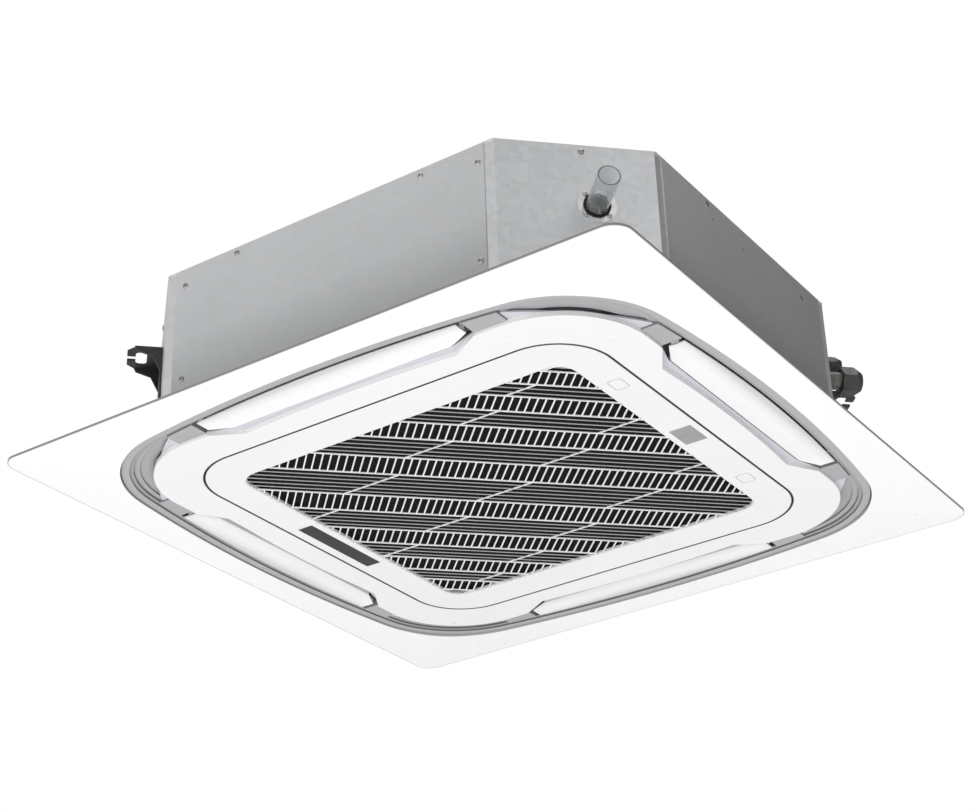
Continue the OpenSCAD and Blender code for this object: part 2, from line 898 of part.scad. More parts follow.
module control_board() {
    post = 4 * box_t;
    color("seagreen") from_rim() {
        slab(board_z, board_z + board_t) difference() {
            box_plan(4 * box_t);
            translate([box_x1 - terminal_l / 2, box_half - terminal_l - 4 * box_t])
                square(terminal_l + 4 * box_t);
        }
        slab(board_z + board_t, box_top - box_t) for (y = [-1, 1])
            translate([box_x0 + 2 * post, y * (box_half - 2 * post)]) circle(post / 2);
        slab(board_z - 2 * post, board_z) translate([box_x0 + 3 * post, -box_half / 2])
            square([6 * post, 6 * post]);
        slab(board_z - post, board_z) for (i = [0:4])
            translate([box_x0 + 8 * post, i * 3 * post]) circle(post);
    }
}

module terminal_block() color("ivory") from_rim() difference() {
    w = terminal_l / 3;
    x = box_x1 - box_t - seat_gap - w;
    y = box_half - 2 * box_t - terminal_l;
    slab(board_z, box_top - box_t) translate([x, y]) square([w, terminal_l - 3 * w / 2]);
    slab(board_z - over, board_z + w / 2) for (i = [0:3])
        translate([x + w / 2, y + (2 * i + 1) * w / 4]) circle(w / 8);
}

// The pump stands on its foot in the sump; a riser takes the water to the drain tube
module drain_pump() {
    top = pump_cup_z + pump_cup_h;
    color("gainsboro") from_rim() rotate(drain_turn) difference() {
        union() {
            translate([pump_out, 0, pump_cup_z]) cylinder(r = pump_cup_r + pump_wall, h = pump_cup_h);
            translate([pump_out, 0, pan_top - sump_d + seat_gap])
                cylinder(r = pump_foot_r, h = pump_cup_z - pan_top + sump_d);
            translate([pump_out, 0, top]) cylinder(r = pump_cup_r - pump_wall, h = pump_motor_h);
            translate([pump_out, drain_side, pump_cup_z + pump_cup_h / 2])
                cylinder(r = riser_r, h = drain_z - elbow_r - pump_cup_z - pump_cup_h / 2);
            translate([pump_out + elbow_r, drain_side, drain_z - elbow_r])
                rotate([90, 0, 180]) rotate_extrude(angle = 90) translate([elbow_r, 0]) circle(riser_r);
            translate([pump_out + elbow_r, drain_side, drain_z]) rotate([0, 90, 0])
                cylinder(r = riser_r, h = drain_face - tube_in - seat_gap - pump_out - elbow_r);
            translate([float_in, float_side, pump_cup_z]) cylinder(r = float_rod_r, h = pump_cup_h + 2 * float_h);
            translate([float_in - float_rod_r, float_side - float_rod_r, top + 2 * float_h - pump_wall])
                cube([2 * float_rod_r, -float_side, pump_wall + float_rod_r]);
            translate([float_in, float_side, pump_cup_z]) cylinder(r = 2 * float_rod_r, h = pump_wall);
        }
        translate([pump_out, 0, pump_cup_z + pump_wall])
            cylinder(r = pump_cup_r, h = pump_cup_h - 2 * pump_wall);
        translate([pump_out, 0, pan_top - sump_d]) cylinder(r = pump_foot_r - pump_wall, h = sump_d + pump_cup_h);
        translate([pump_out, 0, top - pump_wall - over])
            cylinder(r = pump_shaft_r + run_gap, h = pump_motor_h - pump_wall);
        translate([pump_out, drain_side, pump_cup_z + pump_cup_h / 2])
            cylinder(r = riser_bore_r, h = drain_z - elbow_r - pump_cup_z - pump_cup_h / 2);
        translate([pump_out + elbow_r, drain_side, drain_z - elbow_r])
            rotate([90, 0, 180]) rotate_extrude(angle = 90) translate([elbow_r, 0]) circle(riser_bore_r);
        translate([pump_out + elbow_r, drain_side, drain_z]) rotate([0, 90, 0])
            cylinder(r = riser_bore_r, h = drain_face - pump_out);
    }
}

module pump_impeller() {
    z0 = pump_cup_z + pump_wall + seat_gap;
    h = pump_cup_h - 2 * pump_wall - 2 * seat_gap;
    color("white") from_rim() rotate(drain_turn) translate([pump_out, 0, z0]) {
        translate([0, 0, h - over]) cylinder(r = pump_shaft_r, h = pump_motor_h - 2 * pump_wall + over);
        linear_extrude(h) {
            circle(2 * pump_shaft_r);
            for (turn = [0, 90]) rotate(turn) square([2 * pump_cup_r - 6 * pump_wall, pump_wall], center = true);
        }
    }
}

module pump_float() {
    z0 = pump_cup_z + pump_wall + seat_gap;
    color("orangered") from_rim() rotate(drain_turn)
        translate([float_in, float_side, z0]) tube(float_r, float_rod_r + seat_gap, float_h);
}

module at_drain(x) rotate(drain_turn) translate([x, drain_side, drain_z]) rotate([0, 90, 0]) children();

module drain_flange() {
    color("silver") from_rim() at_drain(drain_face) linear_extrude(flange_t) difference() {
        circle(flange_r);
        circle(gasket_r + press_gap);
        flange_places() circle(0.45 * screw_head_r + screw_slack);
    }
}

module drain_gasket() {
    color("black") from_rim() at_drain(drain_face - tube_in)
        tube(gasket_r, tube_r - tube_neck + press_gap, tube_in + flange_t + gasket_t);
}

// The clear tube: its neck sits in the gasket
module drain_tube() {
    l = tube_in + tube_out;
    shoulder = tube_in + flange_t + gasket_t + seat_gap;
    color("aliceblue", 0.5) from_rim() at_drain(drain_face - tube_in) difference() {
        union() {
            cylinder(r = tube_r - tube_neck, h = l);
            translate([0, 0, shoulder]) cylinder(r = tube_r, h = l - shoulder);
        }
        translate([0, 0, -over]) cylinder(r = tube_r - tube_wall, h = l + 2 * over);
    }
}

module pipe_union(side, z, r, af, out) {
    translate([pipe_face + seat_gap, -side, z]) rotate([0, 90, 0]) difference() {
        union() {
            cylinder(r = r + union_wall, h = out);
            translate([0, 0, grommet_t]) cylinder(r = af / sqrt(3), h = out / 3, $fn = 6);
        }
        translate([0, 0, -over]) cylinder(r = r + press_gap, h = out + 2 * over);
    }
}

module pipe_unions() color("darkgoldenrod") from_rim() rotate(pipe_turn) {
    pipe_union(gas_side, gas_z, gas_r, gas_nut_af - union_less, union_out);
    pipe_union(liquid_side, liquid_z, liquid_r, liquid_nut_af - union_less, liquid_union_out);
}

// A flare nut: a hexagon turned down to a cone at its mouth, seated on its union
module flare_nut(side, z, r, af, l, out) {
    seat = l / 2;
    translate([pipe_face + out - seat, -side, z]) rotate([0, 90, 0]) difference() {
        intersection() {
            rotate(30) cylinder(r = af / sqrt(3), h = l, $fn = 6);
            rotate_extrude() polygon([
                [0, 0], [af / 2, 0], [af / sqrt(3), af / 12], [af / sqrt(3), nut_cone_share * l],
                [r + nut_mouth, l], [0, l]
            ]);
        }
        translate([0, 0, -over]) cylinder(r = r + union_wall + press_gap, h = seat + over);
        cylinder(r = r + nut_slack, h = l + over);
    }
}

module gas_flare_nut() color("dimgray") from_rim() rotate(pipe_turn)
    flare_nut(gas_side, gas_z, gas_r, gas_nut_af, gas_nut_l, union_out + 2 * seat_gap);

module liquid_flare_nut() color("dimgray") from_rim() rotate(pipe_turn)
    flare_nut(liquid_side, liquid_z, liquid_r, liquid_nut_af, liquid_nut_l,
        liquid_union_out + 2 * seat_gap);

module rubber_grommets() color("black") from_rim() {
    translate([half, cable_y, cable_z]) rotate([0, 90, 0]) cable_grommet();
    rotate(pipe_turn) {
        pipe_grommet(gas_side, gas_z, gas_r);
        pipe_grommet(liquid_side, liquid_z, liquid_r);
    }
}

module pipe_grommet(side, z, r) {
    translate([pipe_face - sheet_t - liner_t / 2, -side, z]) rotate([0, 90, 0])
        tube(r + grommet_t - seat_gap, r + press_gap, liner_t / 2 + sheet_t);
}

// The cable's grommet: a sleeve through the sheet with a lip outside
module cable_grommet() {
    r = cable_r + grommet_t - seat_gap;
    rotate_extrude() polygon([
        [cable_r - grommet_lip, -sheet_t], [r, -sheet_t], [r, 0], [r + grommet_lip, 0],
        [r + grommet_lip, grommet_t / 2], [cable_r, grommet_t], [cable_r - grommet_lip, grommet_t]
    ]);
}

module slot_plan(tip) {
    square_x = pocket_l / 2;
    translate([-square_x, -pocket_w / 2])
        polygon(rounded([[0, 0], [pocket_l, 0], [pocket_l, pocket_w], [0, pocket_w]], pocket_l / 3));
    translate([0, -mouth_w / 2]) square([tip + over, mouth_w]);
}

// A folded lug: a back plate on the corner's face, a slotted plate and two side flanges
module lug(face) {
    top = hang_h + lug_t / 2;
    drop = 110;
    flange = 14;
    slab(hang_h - lug_t / 2, top) difference() {
        polygon(rounded([
            [face, -lug_w / 2], [slot_out + lug_nose, -lug_w / 2],
            [slot_out + lug_nose, lug_w / 2], [face, lug_w / 2]
        ], lug_t));
        translate([slot_out, 0]) slot_plan(lug_nose);
        for (y = [-1, 1]) translate([slot_out + lug_nose, y * lug_w / 2]) rotate(45)
            square(lug_nose, center = true);
    }
    slab(top - drop, top) translate([face, -lug_w / 2]) square([lug_t, lug_w]);
    for (y = [-1, 1]) translate([0, y * (lug_w - lug_t) / 2, 0]) rotate([90, 0, 0])
        translate([0, 0, -lug_t / 2]) linear_extrude(lug_t) polygon([
            [face, top], [slot_out + lug_nose / 2, top], [slot_out + lug_nose / 3, top - flange / 2],
            [face + flange, top - flange], [face, top - 3 * flange]
        ]);
}

// The drain corner's hanger stands on the roof, raised for its nut
module roof_lug() {
    lift = 8;
    back = 22;
    out = drain_face - back;
    long = 110;
    slab(roof_top, roof_top + lug_t) translate([out - long, -lug_w / 2]) square([long / 2, lug_w]);
    slab(roof_top, roof_top + lift + lug_t) translate([out - long / 2 - lug_t, -lug_w / 2])
        square([lug_t, lug_w]);
    slab(roof_top + lift, roof_top + lift + lug_t) difference() {
        translate([out - long / 2, -lug_w / 2]) square([long / 2, lug_w]);
        translate([out - lug_nose, 0]) slot_plan(lug_nose);
    }
}

module hanger_brackets() color("dimgray") from_rim() {
    for (turn = back_turns) rotate(turn) lug(side_face);
    rotate(pipe_turn) lug(pipe_face);
    rotate(drain_turn) roof_lug();
}

module ring_plan(inset) bowed_square(ring_half - inset, ring_side_r - inset, ring_r - inset);

module ring_band(out, in) difference() {
    ring_plan(out);
    ring_plan(in);
}

// The frame's face falls towards the ring on four plane facets that meet in mitres
module panel_frame() {
    run = panel_w / 2 - surround_half;
    slope = atan(face_drop / run);
    deep = 2 * face_drop;
    color("white") from_rim() difference() {
        union() {
            slab(-face_drop, rim_t) difference() {
                round_square(panel_w / 2, panel_r);
                ring_plan(0);
            }
            slab(rim_t, duct_top) difference() {
                ring_plan(-upstand_t);
                ring_plan(0);
            }
        }
        sides() translate([panel_w / 2, 0, 0]) rotate([0, -slope, 0])
            translate([-panel_w / 2, -panel_w, -deep]) cube([panel_w, 2 * panel_w, deep]);
    }
}

module panel_seal() color("darkslategray") from_rim() slab(seal_z, seal_z + seal_t) difference() {
    octagon(2 * sheet_t, sheet_t);
    outlet_slots(over);
    round_square(frame_hole + lip_w, frame_hole_r);
    motor_pocket_plan(seat_gap);
    bolt_places_plan() circle(bolt_r + screw_slack);
}

module support_frame() color("silver") from_rim() slab(duct_top, seal_z) difference() {
    ring_plan(-upstand_t);
    sides() translate([slot_in, -louvre_half - over]) square([slot_out_y - slot_in, louvre_l + 2 * over]);
    round_square(frame_hole, frame_hole_r);
    motor_pocket_plan(seat_gap);
    bolt_places_plan() circle(bolt_r + screw_slack);
}

module outlet_ring() {
    wall_in = ring_gap + 2 * band_w;
    color("lightgray") from_rim() union() {
        slab(band_a_z, band_a_z + skin_t) ring_band(ring_gap, ring_gap + band_w + skin_t);
        slab(band_b_z, band_b_z + skin_t) ring_band(ring_gap + band_w, wall_in);
        slab(band_b_z, duct_top) ring_band(ring_gap, ring_gap + skin_t);
        slab(band_b_z, duct_top) ring_band(wall_in - skin_t, wall_in);
    }
}

// Plan of a corner moulding: between the surround and the ring, past the louvre's end
module corner_zone(x0, x1) {
    intersection() {
        difference() {
            ring_plan(ring_edge + seat_gap);
            round_square(surround_half + seat_gap, surround_r);
        }
        translate([x0, bridge_in]) square([x1 - x0, half]);
    }
}

// One bridge block beside the louvre on the +Y side, open above, with the pin's bearing
module bridge_block() {
    slab(band_a_z, band_a_z + skin_t) corner_zone(bridge_in, bridge_out);
    slab(band_a_z, duct_top) corner_zone(bridge_in, bridge_in + bridge_wall);
    slab(band_a_z, duct_top) corner_zone(bridge_out - bridge_wall, bridge_out);
    translate([bridge_in, louvre_axis, louvre_z]) rotate([0, 90, 0]) intersection() {
        cylinder(r = louvre_boss_r + over, h = bearing_l);
        translate([louvre_z - duct_top, -half, -over]) cube(2 * half);
    }
}

module corner_moulding() difference() {
    union() {
        bridge_block();
        rotate(90) mirror([0, 1, 0]) bridge_block();
        slab(corner_roof_z, corner_roof_z + skin_t) intersection() {
            corner_zone(bridge_out - bridge_wall, half);
            translate([0, bridge_out - bridge_wall]) square(half);
        }
        slab(corner_step_z, corner_roof_z + over) intersection() {
            ring_band(ring_edge + seat_gap, ring_edge + corner_step_w);
            translate([bridge_out - bridge_wall, bridge_out - bridge_wall]) square(half);
        }
    }
    bearing_bore();
    rotate(90) mirror([0, 1, 0]) bearing_bore();
}

module bearing_bore() translate([bridge_in - over, louvre_axis, louvre_z]) rotate([0, 90, 0])
    cylinder(r = louvre_pin_r + run_gap, h = bearing_l + 2 * over);

module corner_mouldings() color("gray") from_rim() sides() corner_moulding();

// The ledge that shows beside the louvres, and the duct wall behind it
module inner_duct_ring() {
    color("lightsteelblue") from_rim() union() {
        slab(ledge_z, ledge_z + skin_t) difference() {
            intersection() {
                circle(ledge_ring_r, $fn = 180);
                square(2 * ledge_half, center = true);
                ring_plan(ring_edge + seat_gap);
            }
            round_square(ledge_in, ledge_in_r);
            sides() ledge_cut();
            bolt_places_plan() circle(bolt_head_r + over);
        }
        slab(ledge_z + skin_t, duct_top) difference() {
            round_square(duct_wall, duct_wall_r);
            round_square(duct_wall - skin_t, duct_wall_r - skin_t);
        }
    }
}

module ledge_cut() {
    x = louvre_half - louvre_cut_x;
    w = bridge_in - ledge_side;
    polygon([
        [-w, half], [-w, ledge_edge + ledge_slant], [-x, ledge_edge],
        [x, ledge_edge], [w, ledge_edge + ledge_slant], [w, half]
    ]);
    mirrored() translate([w - over, surround_half - over])
        square([bridge_out - w + over + seat_gap, half]);
}

module surround_outline(inset) {
    difference() {
        round_square(surround_half - inset, surround_r - inset);
        sides() difference() {
            polygon(rounded([
                [-notch_top_x - notch_depth, surround_half + notch_depth - inset],
                [-notch_top_x - inset / 2, surround_half - inset],
                [-notch_x - inset / 2, surround_half - notch_depth - inset],
                [notch_x + inset / 2, surround_half - notch_depth - inset],
                [notch_top_x + inset / 2, surround_half - inset],
                [notch_top_x + notch_depth, surround_half + notch_depth - inset]
            ], notch_round / 2));
            translate([0, surround_half - notch_mid - ring_side_r]) circle(ring_side_r - inset, $fn = 720);
        }
    }
}

module inner_surround() {
    color("white") from_rim() difference() {
        union() {
            slab(face_z, skin_top) difference() {
                surround_outline(0);
                round_square(surround_in, surround_in_r);
            }
            slab(skin_top, ledge_z) difference() {
                surround_outline(0);
                surround_outline(lip_w);
            }
            slab(skin_top, duct_top) difference() {
                round_square(surround_in + lip_w, surround_in_r + lip_w);
                round_square(surround_in, surround_in_r);
            }
            for (x = [-1, 1]) translate([x * hinge_x, 0, 0]) arm_guide();
        }
        for (x = [-1, 1]) translate([x * hinge_x, 0, 0]) {
            translate([-arm_w / 2 - seat_gap, hinge_y - arm_r - seat_gap, arm_guide_z - over])
                cube([arm_w + 2 * seat_gap, 2 * (arm_r + seat_gap), arm_guide_top - arm_guide_z + 2 * over]);
        }
        for (x = [-1, 1]) translate([x * latch_x - tongue_w / 2 - over, -surround_in - lip_w - over, tongue_z - over])
            cube([tongue_w + 2 * over, lip_w + 2 * over, tongue_t + 2 * over]);
    }
}

// A sleeve on the surround's wall, in which a hinge arm slides
module arm_guide() translate([-arm_guide_w / 2, 0, 0]) {
    translate([0, arm_guide_y, arm_guide_z])
        cube([arm_guide_w, surround_in + lip_w - arm_guide_y, arm_guide_top - arm_guide_z]);
    translate([0, surround_in, duct_top - over]) cube([arm_guide_w, lip_w, arm_guide_z + 2 * over - duct_top]);
}

// A sliding arm with its head above the guide and its cross pin in the grille's ears
module hinge_arm() {
    l = arm_w + 2 * (ear_gap + ear_t);
    head_z = arm_guide_top + hinge_drop + seat_gap;
    translate([-l / 2, hinge_y, hinge_z]) rotate([0, 90, 0]) cylinder(r = hinge_pin_r, h = l);
    translate([-arm_w / 2, hinge_y, hinge_z]) rotate([0, 90, 0]) cylinder(r = arm_r, h = arm_w);
    translate([-arm_w / 2, hinge_y - arm_r, hinge_z]) cube([arm_w, 2 * arm_r, head_z + over - hinge_z]);
    translate([-arm_guide_w / 2, hinge_y - arm_r, head_z]) cube([arm_guide_w, 2 * arm_r, arm_head_t]);
}

module hinge_arms() color("lightgray") from_rim() for (x = [-1, 1]) translate([x * hinge_x, 0, 0])
    hinge_arm();

// A stepper motor behind each louvre's right-hand bearing
module motor_places() sides() translate([bridge_in + bearing_l + 1, louvre_axis, louvre_z])
    rotate([0, 90, 0]) children();

module louvre_motors() color("lightgray") from_rim() motor_places() {
    cylinder(r = motor_body_r, h = motor_body_l);
    translate([0, motor_ear_off, 0]) linear_extrude(motor_ear_t)
        round_rect(motor_ear_w, 2 * motor_ear, motor_ear_w / 2 - over / 2);
}

module motor_pockets(gap) {
    slab(body_base - over, louvre_z + motor_body_r + 3 * over + gap) motor_pocket_plan(gap);
}

module motor_pocket_plan(gap) {
    sides() translate([bridge_in + bearing_l - gap, louvre_axis + motor_ear_off - motor_ear - over])
        square([motor_body_l + 3 * over, 2 * (motor_ear + over)]);
}

module bolt_places() sides() translate([bolt_at, bolt_at, 0]) children();

module bolt_places_plan() sides() translate([bolt_at, bolt_at]) children();

module panel_bolts() color("silver") from_rim() bolt_places() {
    translate([0, 0, duct_top - bolt_head_h]) cylinder(r = bolt_head_r, h = bolt_head_h, $fn = 6);
    translate([0, 0, duct_top]) cylinder(r = bolt_r, h = bolt_l);
}

module ear(x) translate([x, hinge_y, hinge_z]) rotate([0, 90, 0]) {
    cylinder(r = ear_r, h = ear_t);
    translate([0, -ear_r, 0]) cube([hinge_z - skin_top, 2 * ear_r, ear_t]);
}

module grille_frame() {
    ear_x = arm_w / 2 + ear_gap;
    color("white") from_rim() difference() {
        union() {
            slab(face_z, skin_top) difference() {
                round_square(grille_half, grille_r);
                round_rect(opening_w, opening_d, opening_r);
            }
            slab(skin_top, edge_flange_z) difference() {
                round_square(grille_half, grille_r);
                round_square(grille_half - edge_flange_t, grille_r - edge_flange_t);
            }
            for (x = [-1, 1]) translate([x * hinge_x, 0, 0]) {
                ear(ear_x);
                ear(-ear_x - ear_t);
            }
            for (x = [-1, 1]) translate([x * latch_x, 0, 0]) latch_guide();
        }
        slab(face_z - over, skin_top + over) for (x = [-1, 1]) translate([x * latch_x, latch_y])
            round_rect(latch_w + 2 * seat_gap, latch_d + 2 * seat_gap, latch_round + seat_gap);
        slab(face_z - over, skin_top + over) translate([0, display_y])
            round_rect(display_w + 2 * seat_gap, display_d + 2 * seat_gap, display_round);
        slab(face_z - over, face_z + badge_t - badge_proud) translate([badge_x, badge_y])
            square([badge_w, badge_d], center = true);
        translate([-half, hinge_y, hinge_z]) rotate([0, 90, 0])
            cylinder(r = hinge_pin_r + run_gap, h = 2 * half);
        for (x = [-1, 1]) translate([x * latch_x - tongue_w / 2 - seat_gap, -grille_half - over, tongue_z - seat_gap])
            cube([tongue_w + 2 * seat_gap, edge_flange_t + 2 * over, tongue_t + 2 * seat_gap]);
        slab(skin_top, edge_flange_z + over) for (x = [-1, 1]) translate([x * hinge_x, grille_half])
            square([arm_w + 2 * over, 4 * edge_flange_t], center = true);
    }
}

// Two rails each side of the tongue, tied by a bridge over it
module latch_guide() {
    y0 = latch_y + latch_d / 2 + guide_t;
    l = -opening_d / 2 - lattice_lip - over - y0;
    rail = tongue_w / 2 + seat_gap;
    for (x = [-1, 1]) translate([x * (rail + guide_t / 2), y0 + l / 2, skin_top + guide_h / 2])
        cube([guide_t, l, guide_h], center = true);
    translate([-rail - guide_t, y0, tongue_z + tongue_t + seat_gap])
        cube([2 * (rail + guide_t), l, guide_t]);
}

// Sums of the bands' widths: where each band starts, counted from the pattern's middle line
function band_start(k) = k == 0 ? 0 :
    band_start(k - 1) + line_w(k - 1) * (k == 1 ? 0.5 : 1) + bar_w_at(k - 1);

function line_w(k) = line_band_counts[k] * slat_pitch;

function bar_w_at(k) = bar_band_w - k * bar_band_step;

// Slant of the ribs: each line band moves them along the slats by its own width
function rib_shift(s) = s <= line_w(0) / 2 ? s : rib_shift_after(s, 1, line_w(0) / 2);

function rib_shift_after(s, k, moved) =
    s <= band_start(k) ? moved :
    s <= band_start(k) + line_w(k) || k >= len(line_band_counts) - 1 ? moved + s - band_start(k) :
    rib_shift_after(s, k + 1, moved + line_w(k));

function rib_at(s, rib) = rib * rib_pitch - sign(s) * rib_shift(abs(s));

function in_opening(t, s, margin) =
    abs(t + s) / sqrt(2) < opening_w / 2 + margin && abs(t - s) / sqrt(2) < opening_d / 2 + margin;

module line_cell(s0, s1, rib) {
    g = slat_w / 2;
    w = slat_w * sqrt(2) / 2;
    a = s0 + g;
    b = s1 - g;
    mid_t = rib_at((a + b) / 2, rib + 0.5);
    if (in_opening(mid_t, (a + b) / 2, rib_pitch / 2)) polygon([
        [rib_at(a, rib) + w, a], [rib_at(a, rib + 1) - w, a],
        [rib_at(b, rib + 1) - w, b], [rib_at(b, rib) + w, b]
    ]);
}

module bar_cell(s0, s1, t) {
    pitch = rib_pitch / bars_per_rib;
    if (in_opening(t + pitch / 2, (s0 + s1) / 2, bar_band_w / 2))
        translate([t + bar_w / 2, s0 + slat_w / 2]) square([pitch - bar_w, s1 - s0 - slat_w]);
}

// All openings between slats, ribs and bars, with the slats along the local X axis
module lattice_cells() rotate(-45) {
    ribs = 3;
    for (i = [0:line_band_counts[0] - 1], rib = [-ribs:ribs - 1])
        line_cell(i * slat_pitch - line_w(0) / 2, (i + 1) * slat_pitch - line_w(0) / 2, rib);
    for (side = [-1, 1], k = [1:len(line_band_counts) - 1]) {
        s0 = band_start(k);
        for (i = [0:line_band_counts[k] - 1], rib = [-ribs:ribs - 1])
            line_cell(
                min(side * (s0 + i * slat_pitch), side * (s0 + (i + 1) * slat_pitch)),
                max(side * (s0 + i * slat_pitch), side * (s0 + (i + 1) * slat_pitch)), rib
            );
    }
    for (side = [-1, 1], k = [0:len(line_band_counts) - 2]) {
        s1 = band_start(k + 1);
        s0 = s1 - bar_w_at(k);
        for (n = [-3 * bars_per_rib:3 * bars_per_rib - 1])
            bar_cell(min(side * s0, side * s1), max(side * s0, side * s1),
                rib_at(side * s1, 0) + n * rib_pitch / bars_per_rib);
    }
}

module grille_lattice() {
    z0 = face_z + lattice_recess;
    color("gainsboro") from_rim() union() {
        slab(z0, z0 + lattice_t) difference() {
            round_rect(opening_w - 2 * seat_gap, opening_d - 2 * seat_gap, opening_r);
            intersection() {
                lattice_inside();
                lattice_cells();
            }
        }
        slab(z0 + lattice_t, skin_top + seat_gap) difference() {
            round_rect(opening_w - 2 * seat_gap, opening_d - 2 * seat_gap, opening_r);
            lattice_inside();
        }
        slab(skin_top + seat_gap, skin_top + seat_gap + lattice_t) difference() {
            round_rect(opening_w + 2 * lattice_lip, opening_d + 2 * lattice_lip, opening_r + lattice_lip);
            lattice_inside();
        }
    }
}

module lattice_inside() {
    round_rect(opening_w - 2 * lattice_rim, opening_d - 2 * lattice_rim, opening_r - lattice_rim);
}

module filter_frame() {
    inner_w = filter_w - 2 * filter_border;
    inner_d = filter_d - 2 * filter_border;
    color("darkslategray") from_rim() slab(filter_z, filter_z + filter_t) {
        difference() {
            round_rect(filter_w, filter_d, opening_r);
            round_rect(inner_w, inner_d, opening_r - filter_border);
        }
    }
}

module filter_mesh() color("black") from_rim() slab(filter_z + mesh_t, filter_z + 2 * mesh_t)
    round_rect(filter_w - 2 * filter_border - 2 * seat_gap, filter_d - 2 * filter_border - 2 * seat_gap,
        opening_r - filter_border - seat_gap);

module display_window() color("dimgray") from_rim() translate([0, display_y, 0]) {
    slab(face_z + seat_gap, skin_top + seat_gap) round_rect(display_w, display_d, display_round);
    slab(skin_top + seat_gap, skin_top + 2 * seat_gap + display_lip_t)
        round_rect(display_w + 2 * display_lip, display_d + 2 * display_lip, display_lip);
}

module display_board() {
    z0 = skin_top + 2 * seat_gap + display_lip_t;
    color("seagreen") from_rim() translate([0, display_y, 0]) {
        slab(z0 + lamp_h, z0 + lamp_h + board_t)
            round_rect(display_w - display_d, display_d - 2 * display_edge, display_edge);
        slab(z0 + seat_gap, z0 + lamp_h) for (i = [-3:3]) translate([i * lamp_pitch, 0]) circle(lamp_r);
    }
}

module badge_plate() color("darkgray") from_rim()
    slab(face_z - badge_proud, face_z + badge_t - badge_proud) translate([badge_x, badge_y])
        square([badge_w - 2 * seat_gap, badge_d - 2 * seat_gap], center = true);

// A louvre on the +Y side: bowed outer edge, cut inner corners, upturned inner lip, end ribs and pins
module louvre() {
    x = louvre_half;
    cut = louvre_half - louvre_cut_x;
    edge = louvre_axis - louvre_lip_in;
    slab(louvre_face_z, louvre_face_z + louvre_t) intersection() {
        polygon([
            [-cut, edge], [cut, edge], [x, edge + louvre_cut_y], [x, half],
            [-x, half], [-x, edge + louvre_cut_y]
        ]);
        translate([0, louvre_out - ring_side_r]) circle(ring_side_r, $fn = 720);
    }
    translate([-cut, louvre_axis, louvre_z]) rotate([90, 0, 90]) linear_extrude(2 * cut) intersection() {
        ring(louvre_lip_r, louvre_lip_r - louvre_lip_t);
        translate([-louvre_lip_r, louvre_face_z - louvre_z]) square([louvre_lip_t + louvre_foot, louvre_lip_h]);
    }
    for (side = [-1, 1]) {
        translate([side * (x - louvre_rib_t / 2), louvre_axis, 0]) rotate([90, 0, 90])
            translate([0, 0, -louvre_rib_t / 2]) linear_extrude(louvre_rib_t) {
                translate([0, louvre_z]) circle(louvre_boss_r);
                polygon([
                    [-louvre_boss_r, louvre_z], [-louvre_boss_r - louvre_foot, louvre_face_z + louvre_t / 2],
                    [louvre_boss_r + louvre_foot, louvre_face_z + louvre_t / 2], [louvre_boss_r, louvre_z]
                ]);
            }
        translate([side * x, louvre_axis, louvre_z]) rotate([0, side * 90, 0])
            cylinder(r = louvre_pin_r, h = louvre_side_gap + bearing_l - seat_gap);
    }
}

module turned_louvre(turn) color("white") from_rim() rotate(turn) louvre();

module louvre_back() turned_louvre(0);

module louvre_left() turned_louvre(90);

module louvre_front() turned_louvre(180);

module louvre_right() turned_louvre(270);

// A push button with a wedge on its back, kept in its window by a lip
module latch_button(side) {
    base = skin_top + seat_gap;
    top = tongue_z + wedge_t - over;
    slope_y = wedge_t / 2 + over;
    color("white") from_rim() translate([side * latch_x, latch_y, 0]) {
        slab(face_z, base) round_rect(latch_w, latch_d, latch_round);
        slab(base, base + over) round_rect(latch_w + 2 * over, latch_d + 2 * over, latch_round);
        translate([-wedge_w / 2, 0, 0]) rotate([90, 0, 90]) linear_extrude(wedge_w) polygon([
            [-wedge_t / 2, base], [slope_y, base], [slope_y, tongue_z - over],
            [slope_y - wedge_t, top], [-wedge_t / 2, top]
        ]);
    }
}

module latch_button_left() latch_button(-1);

module latch_button_right() latch_button(1);

// The tongue: its window has a sloped edge that rides on the button's wedge
module latch_tongue(side) {
    tip = -surround_in + seat_gap;
    wy = latch_y + wedge_t / 2 + 2 * seat_gap;
    color("gainsboro") from_rim() difference() {
        translate([side * latch_x - tongue_w / 2, tip, tongue_z])
            cube([tongue_w, latch_y - tip + tongue_back, tongue_t]);
        translate([side * latch_x - wedge_w / 2 - over, 0, 0]) rotate([90, 0, 90])
            linear_extrude(wedge_w + 2 * over) polygon([
            [latch_y - wedge_t / 2 - latch_travel - over, tongue_z - over],
            [wy + over, tongue_z - over], [wy - tongue_t - over, tongue_z + tongue_t + over],
            [latch_y - wedge_t / 2 - latch_travel - over, tongue_z + tongue_t + over]
        ]);
    }
}

module latch_tongue_left() latch_tongue(-1);

module latch_tongue_right() latch_tongue(1);

